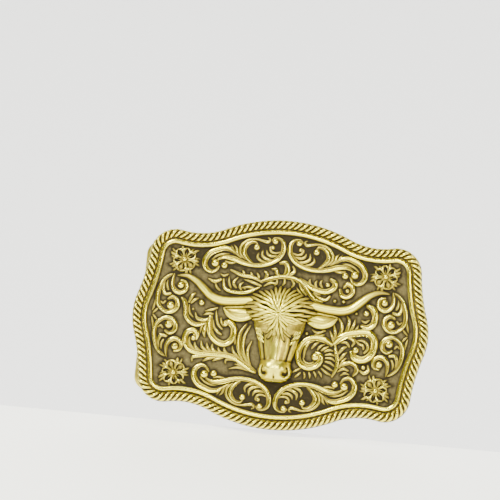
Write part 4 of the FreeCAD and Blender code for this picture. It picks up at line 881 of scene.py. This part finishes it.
class BUCKLE_OT_flowers(bpy.types.Operator):
    """Models a flower of folded petals in each corner"""

    bl_idname = "buckle.flowers"
    bl_label = "Flowers"

    def execute(self, context):
        finish = finish_named("relief_brass", reach=0.06)
        step = context.scene.buckle_sizes.stroke_step
        shapes = profiles()
        loops = []
        for degrees, reach, half in PETALS:
            way = math.radians(degrees)

            def place(along, aside, thick, level):
                x = along * math.cos(way) - aside * math.sin(way)
                y = along * math.sin(way) + aside * math.cos(way)
                return (x, y, thick, level)

            for side in (-1, 1):
                loops.append(with_round_ends(smooth_line([
                    place(0.75, 0.12 * side, 0.18, 0.2), place(reach * 0.5, half * 0.66 * side, 0.3, 0.4),
                    place(reach * 0.8, half * 0.74 * side, 0.38, 0.42), place(reach, 0.2 * side, 0.22, 0.3),
                ], step)))
            loops.append(with_round_ends(smooth_line([
                place(0.8, 0, 0.3, -0.1), place(reach * 0.6, 0, half * 0.62, -0.62),
                place(reach * 0.85, 0, half * 0.55, -0.6),
            ], step)))
            loops.append(with_round_ends(smooth_line(
                [place(0.9, 0, 0.16, 0.3), place(reach * 0.55, 0, 0.13, 0.3)], step,
            )))
        for degrees, reach, wide in SEPALS:
            way = math.radians(degrees)
            loops.append(with_round_ends(smooth_line([
                (math.cos(way + twist) * far, math.sin(way + twist) * far, thick, 0.0)
                for far, thick, twist in (
                    (reach, 0.1, 0.1), (reach - 0.8, wide * 0.8, 0.03), (reach - 2.2, wide, 0.0),
                )
            ], step)))
        petals = stroke_object("petals", shapes["plain"], loops)
        first = joined("flower_master", [petals, ball(0, 0, 0.8, 0.5)])
        remove(shapes.values())
        choose(first)
        first.location = (FLOWER[0] * MM, FLOWER[1] * MM, 0)
        bpy.ops.object.transform_apply(location=True, rotation=False, scale=False)
        rub(first, 0.85, 0.1)
        for across, up, words in quarters():
            copy = mirrored_copy(first, "flower_" + words + "_relief", across, up)
            stand(copy, ["flower_" + words], "relief_brass", finish)
        remove([first])
        return {"FINISHED"}


class BUCKLE_OT_borders(bpy.types.Operator):
    """Models the twisted rope edge and the smooth rim inside it"""

    bl_idname = "buckle.borders"
    bl_label = "Rope edge and rim"

    def execute(self, context):
        sizes = context.scene.buckle_sizes
        radius = sizes.rope_radius
        lobes = []
        for i in range(ROPE_SIDES):
            angle = TURN * i / ROPE_SIDES
            strand = TURN / ROPE_STRANDS
            off = (angle + strand / 2) % strand - strand / 2
            side = STRAND_OFF * math.sin(off)
            reach = STRAND_OFF * math.cos(off) + math.sqrt(STRAND_RADIUS ** 2 - side ** 2)
            lobes.append((reach * math.cos(angle), reach * math.sin(angle)))
        profile = section("rope_section", lobes)
        path = outline(radius, ROPE_RINGS).tolist()
        ring = [(x, y, radius, sizes.rope_level) for x, y in path + path[:1]]
        twist = ROPE_HAND * TURN * sizes.rope_turns / ROPE_RINGS
        rope = swept("rope_edge_twist", profile, [ring], ROPE_WELD, caps=False, twist=twist)
        tree = KDTree(len(path))
        for i, (x, y) in enumerate(path):
            tree.insert((x, y, sizes.rope_level), i)
        tree.balance()
        far = np.array([tree.find(point)[2] for point in positions(rope)])
        mark_wear_and_shade(rope, (far / radius - 0.62) / 0.4)
        finish = finish_named("rope_brass", reach=0.02)
        stand(named(rope, "rope_edge_twist"), ["rope_edge"], "rope_brass", finish, 75)
        remove([profile])

        half = RIM_WIDTH / 2
        path = outline(HALF_WIDTH - RIM_HALF_WIDTH + half, RIM_RINGS)
        profile = arch("rim_section", ROUND_ARCH, sizes.rim_height / ROUND_TOP / half)
        ring = [(x, y, half, 0.0) for x, y in path]
        rim = swept("inner_rim_bead", profile, [ring], CAP_WELD, caps=False, closed=True)
        rub(rim, 0.95)
        finish = finish_named("rim_brass", reach=0.06, polish=0.2, bump=0.03)
        stand(named(rim, "inner_rim_bead"), ["inner_rim"], "rim_brass", finish)
        remove([profile])
        return {"FINISHED"}


def eased(low, high, value):
    """Zero below low, one above high, smooth between, for arrays."""
    share = np.clip((value - low) / (high - low), 0.0, 1.0)
    return share * share * (3 - 2 * share)


def field_object(name, low, high, step, height, keep):
    """A closed piece whose top is a height field over a grid, kept where keep is true."""
    across = round((high[0] - low[0]) / step)
    along = round((high[1] - low[1]) / step)
    bpy.ops.object.select_all(action="DESELECT")
    bpy.ops.mesh.primitive_grid_add(x_subdivisions=across, y_subdivisions=along, size=2)
    obj = bpy.context.object
    obj.name = name
    points = positions(obj) * MM
    x = low[0] + (points[:, 0] + 1) / 2 * (high[0] - low[0])
    y = low[1] + (points[:, 1] + 1) / 2 * (high[1] - low[1])
    z = height(x, y)
    obj.data.vertices.foreach_set("co", (np.stack([x, y, z], axis=1) * MM).astype(np.float32).ravel())
    inside = keep(x, y)
    for face in obj.data.polygons:
        face.select = not all(inside[i] for i in face.vertices)
    for vertex in obj.data.vertices:
        vertex.select = False
    for edge in obj.data.edges:
        edge.select = False
    choose(obj)
    bpy.context.tool_settings.mesh_select_mode = (False, False, True)
    bpy.ops.object.mode_set(mode="EDIT")
    bpy.ops.mesh.delete(type="FACE")
    bpy.ops.mesh.select_mode(type="EDGE")
    bpy.ops.mesh.select_all(action="SELECT")
    bpy.ops.mesh.region_to_loop()
    bpy.ops.mesh.extrude_edges_move(TRANSFORM_OT_translate={"value": (0, 0, 0)})
    bpy.ops.object.mode_set(mode="OBJECT")
    for vertex in obj.data.vertices:
        if vertex.select:
            vertex.co.z = FOOT_LEVEL * MM
    bpy.ops.object.mode_set(mode="EDIT")
    bpy.ops.mesh.edge_face_add()
    bpy.ops.object.mode_set(mode="OBJECT")
    outwards(obj)
    return obj


def bump_at(x, y, centre, reach, tall):
    """A soft round bump or, with a negative height, a dent."""
    return tall * np.exp(-((x - centre[0]) / reach[0]) ** 2 - ((y - centre[1]) / reach[1]) ** 2)


def head_profile(y):
    """The head's half width and height at distances up the plate."""
    ups, halves, talls = (np.array(column)[::-1] for column in zip(*HEAD))
    return np.interp(y, ups - FIGURE_DROP, halves), np.interp(y, ups - FIGURE_DROP, talls)


def head_height(x, y):
    """The height of the head's surface over the plate, in millimetres."""
    half, tall = head_profile(y)
    side = np.clip(np.abs(x) / half, 0, 1.0)
    blunt = 2.05 + 0.9 * (1 - eased(-12.3, -11.3, y)) + 0.5 * eased(-5.0, -2.0, y)
    z = tall * np.clip(1 - side ** blunt, 0, 1) ** 0.6
    nose = eased(-12.8, -10.8, y) * (1 - eased(-5.2, -2.6, y))
    for place, reach, height in NOSE_FORMS:
        z += nose * height * np.exp(-((side * 6.0 - place) / reach) ** 2)
    for across, up, wide, high, height in PAIRED_FORMS:
        for sign in (-1, 1):
            z += bump_at(x, y, (sign * across, up), (wide, high), height)
    for across, up, wide, high, height in MIDDLE_FORMS:
        z += bump_at(x, y, (across, up), (wide, high), height)
    z -= (np.abs(x) < 3.2) * 0.35 * np.exp(-((y - MOUTH_UP) / 0.18) ** 2)
    return np.maximum(z, FOOT_LEVEL)


def head_inside(x, y):
    """Where the head's surface is over the plate."""
    low, high = HEAD[-1][0] - FIGURE_DROP, HEAD[0][0] - FIGURE_DROP
    return (np.abs(x) < head_profile(y)[0] * 0.995) & (y > low) & (y < high)


def level_at(height, x, y):
    """The height of a height field at one place."""
    return float(height(np.array([x]), np.array([y]))[0])


def hair_reach(angle):
    """How far the hair's edge is from the whorl in a direction."""
    ring = []
    for x, y in HAIR_EDGE:
        dx, dy = x - WHORL[0], y - WHORL[1]
        ring.append((math.atan2(dy, dx), math.hypot(dx, dy)))
    ring.sort()
    angles = np.array([ring[-1][0] - TURN] + [a for a, r in ring] + [ring[0][0] + TURN])
    reaches = np.array([ring[-1][1]] + [r for a, r in ring] + [ring[0][1]])
    return np.interp(angle, angles, reaches)


def hair_height(x, y):
    """The height of the hair's dome over the plate, in millimetres."""
    dx, dy = x - WHORL[0], y - WHORL[1]
    share = np.hypot(dx, dy) / hair_reach(np.arctan2(dy, dx))
    edge = 2.0 + 2.7 * (1 - eased(-5.0, 0.5, y))
    return 5.75 - (5.75 - edge) * np.clip(share, 0, 1.2) ** 2.3


class BUCKLE_OT_head(bpy.types.Operator):
    """Models the longhorn head, its brows and its forelock of pointed locks"""

    bl_idname = "buckle.head"
    bl_label = "Head and forelock"

    def execute(self, context):
        finish = finish_named("figure_brass", reach=0.06, polish=0.3, bump=0.06)
        head = field_object("head_face", HEAD_LOW, HEAD_HIGH, HEAD_STEP, head_height, head_inside)
        points = positions(head)
        side = np.clip(np.abs(points[:, 0]) / head_profile(points[:, 1])[0], 0, 1)
        face = eased(-13.0, -11.5, points[:, 1])
        eye = eased(-6.2, -5.0, points[:, 1]) * eased(0.45, 0.6, side)
        socket = bump_at(np.abs(points[:, 0]), points[:, 1], (5.9, -4.1), (1.7, 1.7), 1.0)
        # Painted shade: the level is lowered towards the sides of the upper face, a little over the whole
        # upper face, at the eyes and most in the eye sockets.
        shade = -face * 0.3 * eased(0.25, 0.8, side) - 0.08 * face - 0.06 * eye - 0.4 * socket
        rub_by_hollow_with_shade(head, 0.62, 0.8, shade)
        shapes = profiles()
        brow = []
        rng = random.Random(11)
        for sign in (-1, 1):
            for i in range(9):
                row = i % 3
                x = sign * (7.3 - 0.7 * (i // 3) - 0.3 * row)
                y = -1.3 - 1.35 * row - 0.3 * (i // 3)
                stroke = []
                for along, half in ((0.0, 0.14), (0.45, 0.36), (1.0, 0.14)):
                    px = x - sign * (0.7 * along + 0.4 * along * along)
                    py = y - 1.7 * along
                    stroke.append((px, py, half, level_at(head_height, px, py) + 0.08))
                brow.append(with_round_ends(smooth_line(stroke, 0.3)))
        brows = stroke_object("brows", shapes["plain"], brow)
        mark_wear_and_shade(brows, 0.95 * upwardness(brows) ** 2)
        head = joined("longhorn_head_cast", [head, brows])
        stand(head, ["longhorn_head"], "figure_brass", finish, 60)

        cap = field_object(
            "hair_cap", HAIR_LOW, HAIR_HIGH, HAIR_STEP,
            lambda x, y: hair_height(x, y) - 0.75,
            lambda x, y: np.hypot(x - WHORL[0], y - WHORL[1])
            < 0.93 * hair_reach(np.arctan2(y - WHORL[1], x - WHORL[0])),
        )
        mark_wear_and_shade(cap, np.full(len(cap.data.vertices), 0.12))
        locks = []
        width = context.scene.buckle_sizes.lock_width
        for tier, (count, root, tip, lift, wide) in enumerate((
            (38, 0.6, 1.03, 0.0, 1.12), (29, 0.38, 0.8, 0.26, 1.04), (20, 0.2, 0.58, 0.46, 0.92),
         (11, 0.05, 0.34, 0.62, 0.8),
        )):
            for i in range(count):
                angle = TURN * (i + 0.5 * (tier % 2) + rng.uniform(-0.12, 0.12)) / count - math.pi
                reach = float(hair_reach(angle))
                bend = -0.16 * math.sin(2 * angle) + rng.uniform(-0.12, 0.12)
                stop = tip * rng.uniform(0.92, 1.04)
                stroke = []
                for share, half in ((0.0, 0.4), (0.35, 0.85), (0.8, 1.0), (1.0, 0.85)):
                    far = (root + (stop - root) * share) * reach
                    turn = angle + bend * (share - 0.5)
                    x = WHORL[0] + far * math.cos(turn)
                    y = WHORL[1] + far * math.sin(turn)
                    level = level_at(hair_height, x, y)
                    stroke.append((x, y, width * wide * half, level - 0.3 + lift - 0.35 * share ** 3))
                locks.append(with_round_ends(smooth_line(stroke, 0.45)))
        tuft = stroke_object("locks", shapes["plain"], locks)
        height = positions(tuft)
        floor = hair_height(height[:, 0], height[:, 1]) - 0.35
        mark_wear_and_shade(tuft, (height[:, 2] - floor - 0.05) / 0.75 * (0.3 + 0.7 * upwardness(tuft)))
        remove(shapes.values())
        tuft = joined("forelock_locks", [tuft, cap])
        stand(tuft, ["forelock"], "figure_brass", finish, 60)
        return {"FINISHED"}


def rub_by_hollow_with_shade(obj, level, gain, shade):
    """Marks a free surface by how it stands over its neighbours, plus the painted shade given in shade."""
    points = positions(obj)
    tree = KDTree(len(points))
    for i, point in enumerate(points):
        tree.insert(point, i)
    tree.balance()
    mesh = obj.data
    around = np.zeros(len(points))
    number = np.zeros(len(points))
    near = points[:, 2].copy()
    ends = np.zeros(len(mesh.edges) * 2, np.int64)
    mesh.edges.foreach_get("vertices", ends)
    ends = ends.reshape(-1, 2)
    for _ in range(9):
        around[:] = 0
        number[:] = 0
        np.add.at(around, ends[:, 0], near[ends[:, 1]])
        np.add.at(around, ends[:, 1], near[ends[:, 0]])
        np.add.at(number, ends[:, 0], 1)
        np.add.at(number, ends[:, 1], 1)
        near = around / np.maximum(number, 1)
    proud = points[:, 2] - near
    mark_wear_and_shade(obj, level + shade + gain * proud / 0.12 * 0.5 + 0.25 * (upwardness(obj) - 0.6))


class BUCKLE_OT_horns(bpy.types.Operator):
    """Models the horns and the hollow ears"""

    bl_idname = "buckle.horns"
    bl_label = "Horns and ears"

    def execute(self, context):
        finish = finish_named("figure_brass", reach=0.06, polish=0.3, bump=0.06)
        tall = arch("horn_section", ROUND_ARCH, 1.75, -0.2)
        line = with_round_ends(smooth_line([p + (0.0,) for p in fitted(HORN, FIELD_DROP)], 0.35))
        horn = stroke_object("horn_master", tall, [line])
        rub(horn, 2.2)
        plain = arch("ear_section", ROUND_ARCH)
        low = [with_round_ends(smooth_line([p + (0.0,) for p in fitted(EAR_HOLLOW, FIELD_DROP)], 0.4))]
        edges = [
            with_round_ends(smooth_line([p + (level,) for p in fitted(edge, FIELD_DROP)], 0.35))
            for edge, level in ((EAR_UPPER, 0.8), (EAR_LOWER, 0.75))
        ]
        flat = arch("ear_flat_section", ROUND_ARCH, 0.85)
        rims = stroke_object("ear_edge", plain, edges)
        ear = joined("ear_master", [rims, stroke_object("ear_hollow", flat, low)])
        height = positions(ear)[:, 2]
        mark_wear_and_shade(ear, 0.3 + (height - 0.5) / 1.9)
        for side, words in ((1, "right"), (-1, "left")):
            for first, stem in ((horn, "horn_"), (ear, "ear_")):
                copy = mirrored_copy(first, stem + words + "_cast", side, 1)
                stand(copy, [stem + words], "figure_brass", finish)
        remove([horn, ear, tall, plain, flat])
        return {"FINISHED"}


class BUCKLE_OT_ground(bpy.types.Operator):
    """Models the plate with its cast ground, with painted shade darkening it close to the relief"""

    bl_idname = "buckle.ground"
    bl_label = "Plate and ground"

    def execute(self, context):
        sizes = context.scene.buckle_sizes
        step = GROUND_STEP
        edge = outline(HALF_WIDTH - RIM_HALF_WIDTH + 0.9, 400)
        reach_angles = np.arctan2(edge[:, 1], edge[:, 0])
        order = np.argsort(reach_angles)
        angles = reach_angles[order]
        reaches = np.hypot(edge[:, 0], edge[:, 1])[order]
        width = math.ceil(HALF_WIDTH / step) * step
        tall = math.ceil(HALF_HEIGHT / step) * step
        cells = (int(2 * width / step) + 1, int(2 * tall / step) + 1)
        # Where the relief covers the plate, blurred below, to place painted shade on the ground close to
        # it.
        cover = np.zeros(cells)
        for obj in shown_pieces():
            if obj.get("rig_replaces") is None or "brass" not in obj.get("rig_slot", ""):
                continue
            points = positions(obj)
            i = np.clip(np.round((points[:, 0] - MIDDLE / MM + width) / step).astype(int), 0, cells[0] - 1)
            j = np.clip(np.round((points[:, 2] + tall) / step).astype(int), 0, cells[1] - 1)
            cover[i, j] = 1.0
        soft = cover.copy()
        for _ in range(4):
            shifts = [np.roll(soft, way, axis) for axis in (0, 1) for way in (1, -1)]
            soft = (soft + shifts[0] + shifts[1] + shifts[2] + shifts[3]) / 5
        rng = np.random.default_rng(7)
        rough = rng.random(cells)
        rough = (rough + np.roll(rough, 1, 0) + np.roll(rough, 1, 1)) / 3

        def look(field, x, y):
            i = np.clip(np.round((x + width) / step).astype(int), 0, cells[0] - 1)
            j = np.clip(np.round((y + tall) / step).astype(int), 0, cells[1] - 1)
            return field[i, j]

        ground = field_object(
            "ground", (-width, -tall), (width, tall), step,
            lambda x, y: 0.05 + sizes.pebble * look(rough, x, y),
            lambda x, y: np.hypot(x, y) < np.interp(np.arctan2(y, x), angles, reaches),
        )
        points = positions(ground)
        # Painted shade: the ground is darker close to the relief. It is also darker towards the top and
        # bottom across the middle, and its tone varies with the grit.
        unshaded_share = 1 - look(soft, points[:, 0], points[:, 1])
        crest = eased(15.0, 19.0, np.abs(points[:, 1])) * (1 - eased(27.0, 30.0, np.abs(points[:, 0])))
        grit = look(rough, points[:, 0], points[:, 1])
        mark_wear_and_shade(ground, 0.1 + 0.5 * (unshaded_share - 0.3) - 0.3 * crest + 0.2 * (grit - 0.5))
        body = plate_body()
        mark_wear_and_shade(body, np.full(len(body.data.vertices), 0.42))
        plate = joined("base_plate_cast", [ground, body])
        finish = finish_named("ground_brass", ground=True, bump=0.3, polish=0.45)
        stand(plate, ["base_plate"], "ground_brass", finish, 40)
        return {"FINISHED"}


def plate_body():
    """The plate itself, with the shallow recess in its back, face up."""
    thickness = (BACK - FRONT) / MM
    rings = ((0.35, 0.0), (0.0, -0.35), (0.0, -thickness + 0.25), (0.25, -thickness), (3.0, -thickness),
             (3.0, -thickness + 0.5))
    count = 360
    bpy.ops.object.select_all(action="DESELECT")
    bpy.ops.mesh.primitive_circle_add(vertices=count, radius=1, fill_type="NGON")
    obj = bpy.context.object
    ring = outline(rings[0][0], count)
    put_ring(obj, range(count), ring, rings[0][1])
    bpy.ops.object.mode_set(mode="EDIT")
    bpy.ops.mesh.select_all(action="SELECT")
    bpy.ops.object.mode_set(mode="OBJECT")
    before = rings[0][0]
    for inset, level in rings[1:]:
        bpy.ops.object.mode_set(mode="EDIT")
        bpy.ops.mesh.select_mode(type="FACE")
        bpy.ops.mesh.extrude_region_move(TRANSFORM_OT_translate={"value": (0, 0, -MM)})
        bpy.ops.object.mode_set(mode="OBJECT")
        moved = [v.index for v in obj.data.vertices if v.select]
        move_ring(obj, moved, outline(before, count), outline(inset, count), level)
        before = inset
    outwards(obj)
    return obj


def put_ring(obj, numbers, ring, level):
    """Moves a ring of vertices onto an outline at a level, one for one."""
    for number, (x, y) in zip(numbers, ring):
        obj.data.vertices[number].co = (x * MM, y * MM, level * MM)


def move_ring(obj, numbers, before, ring, level):
    """Moves vertices that lie on one outline to the same places of another outline, at a level."""
    tree = KDTree(len(before))
    for i, (x, y) in enumerate(before):
        tree.insert((x, y, 0), i)
    tree.balance()
    for number in numbers:
        vertex = obj.data.vertices[number]
        x, y = ring[tree.find((vertex.co.x / MM, vertex.co.y / MM, 0))[1]]
        vertex.co = (x * MM, y * MM, level * MM)


class BUCKLE_OT_hardware(bpy.types.Operator):
    """Finishes the bail, its lugs and the hook in plain brass"""

    bl_idname = "buckle.hardware"
    bl_label = "Bail and hook"

    def execute(self, context):
        finish = finish_named("hardware_brass", rubbed=0.62, bump=0.06, polish=0.33)
        for name in ("bail", "hinge_lug_upper", "hinge_lug_lower", "hook_base", "hook_post"):
            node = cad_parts[name]
            node.data.materials.clear()
            node.data.materials.append(finish)
        return {"FINISHED"}


class BUCKLE_OT_stage(bpy.types.Operator):
    """Sets the floor, the backdrop, the soft lights and the camera"""

    bl_idname = "buckle.stage"
    bl_label = "Stage"

    def execute(self, context):
        low = PACKED_BOX[0].z
        white = plain_material("studio_white", (0.9, 0.9, 0.9))
        bpy.ops.object.select_all(action="DESELECT")
        bpy.ops.mesh.primitive_grid_add(x_subdivisions=1, y_subdivisions=3, size=6)
        floor = context.object
        floor.name = "floor"
        rows = ((-4.0, low - 1.3), (-0.003, low), (1.2, low), (1.6, low + 3.5))
        for vertex in floor.data.vertices:
            vertex.co.y, vertex.co.z = rows[round((vertex.co.y + 3) / 2)]
        floor.data.materials.append(white)
        bpy.ops.object.shade_smooth_by_angle(angle=math.radians(20))
        floor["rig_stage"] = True

        world = bpy.data.worlds.new("studio")
        context.scene.world = world
        world.use_nodes = True
        world.node_tree.nodes["Background"].inputs["Color"].default_value = (0.97, 0.95, 0.82, 1)
        world.node_tree.nodes["Background"].inputs["Strength"].default_value = 0.16
        middle = Vector((MIDDLE, FRONT, 0))
        for name, place, wide, power, tint in (  # places in metres from the plate, powers in watts
            ("key", (-0.35, -0.5, 0.5), 0.18, 9.6, (1.0, 1.0, 0.74)),
            ("fill", (0.55, -0.5, 0.1), 0.2, 2.6, (1.0, 0.88, 0.6)),
            ("front", (0.0, -0.8, 0.22), 0.12, 3.4, (1, 1, 0.85)),
            ("under", (-0.1, -0.6, -0.3), 0.25, 0.7, (1, 0.9, 0.65)),
            ("top", (0.0, -0.15, 0.8), 0.5, 3.6, (1, 1, 0.85)),
            ("back", (0.1, 0.6, 0.5), 0.5, 3.0, (1, 1, 1)),
        ):
            bpy.ops.object.light_add(type="AREA", location=middle + Vector(place))
            lamp = context.object
            lamp.name = name + "_light"
            lamp.data.energy = power
            lamp.data.size = wide
            lamp.data.color = tint
            lamp.rotation_euler = (middle - lamp.location).to_track_quat("-Z", "Y").to_euler()

        azimuth, elevation, roll = (math.radians(angle) for angle in CAMERA_ANGLES)
        level = math.cos(elevation)
        back = Vector((math.sin(azimuth) * level, -math.cos(azimuth) * level, math.sin(elevation)))
        turn = (-back).to_track_quat("-Z", "Y").to_matrix() @ Matrix.Rotation(roll, 3, "Z")
        right, up = turn.col[0], turn.col[1]
        aim = middle + (right * AIM_RIGHT + up * AIM_UP) * MM
        bpy.ops.object.camera_add(location=aim + back * CAMERA_DISTANCE, rotation=turn.to_euler())
        camera = context.object
        camera.name = "camera"
        camera.data.sensor_width = SENSOR
        camera.data.lens = SENSOR * CAMERA_DISTANCE / (SEEN_WIDTH * MM)
        camera.data.clip_start = 0.05
        camera.data.clip_end = 20.0
        context.scene.camera = camera
        return {"FINISHED"}


class BUCKLE_PT_panel(bpy.types.Panel):
    """The buckle's sizes, colours and operators"""

    bl_label = "Western plate buckle"
    bl_idname = "BUCKLE_PT_panel"
    bl_space_type = "VIEW_3D"
    bl_region_type = "UI"
    bl_category = "Buckle"

    def draw(self, context):
        for group in (context.scene.buckle_sizes, context.scene.buckle_colours):
            for key in group.bl_rna.properties.keys():
                if key not in ("rna_type", "name"):
                    self.layout.prop(group, key)
        for operator in OPERATORS:
            self.layout.operator(operator.bl_idname)


OPERATORS = (
    BUCKLE_OT_borders, BUCKLE_OT_scrolls, BUCKLE_OT_flowers, BUCKLE_OT_horns, BUCKLE_OT_head,
    BUCKLE_OT_ground, BUCKLE_OT_hardware, BUCKLE_OT_stage,
)
CLASSES = (BuckleSizes, BuckleColours) + OPERATORS + (BUCKLE_PT_panel,)


def register():
    """Registers the classes and the scene's properties."""
    for item in CLASSES:
        bpy.utils.register_class(item)
    bpy.types.Scene.buckle_sizes = bpy.props.PointerProperty(type=BuckleSizes)
    bpy.types.Scene.buckle_colours = bpy.props.PointerProperty(type=BuckleColours)


def unregister():
    """Takes the properties and the classes away again."""
    del bpy.types.Scene.buckle_colours
    del bpy.types.Scene.buckle_sizes
    for item in reversed(CLASSES):
        bpy.utils.unregister_class(item)


def main():
    """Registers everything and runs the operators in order."""
    register()
    for operator in OPERATORS:
        family, name = operator.bl_idname.split(".")
        getattr(getattr(bpy.ops, family), name)()


if __name__ == "__main__":
    main()
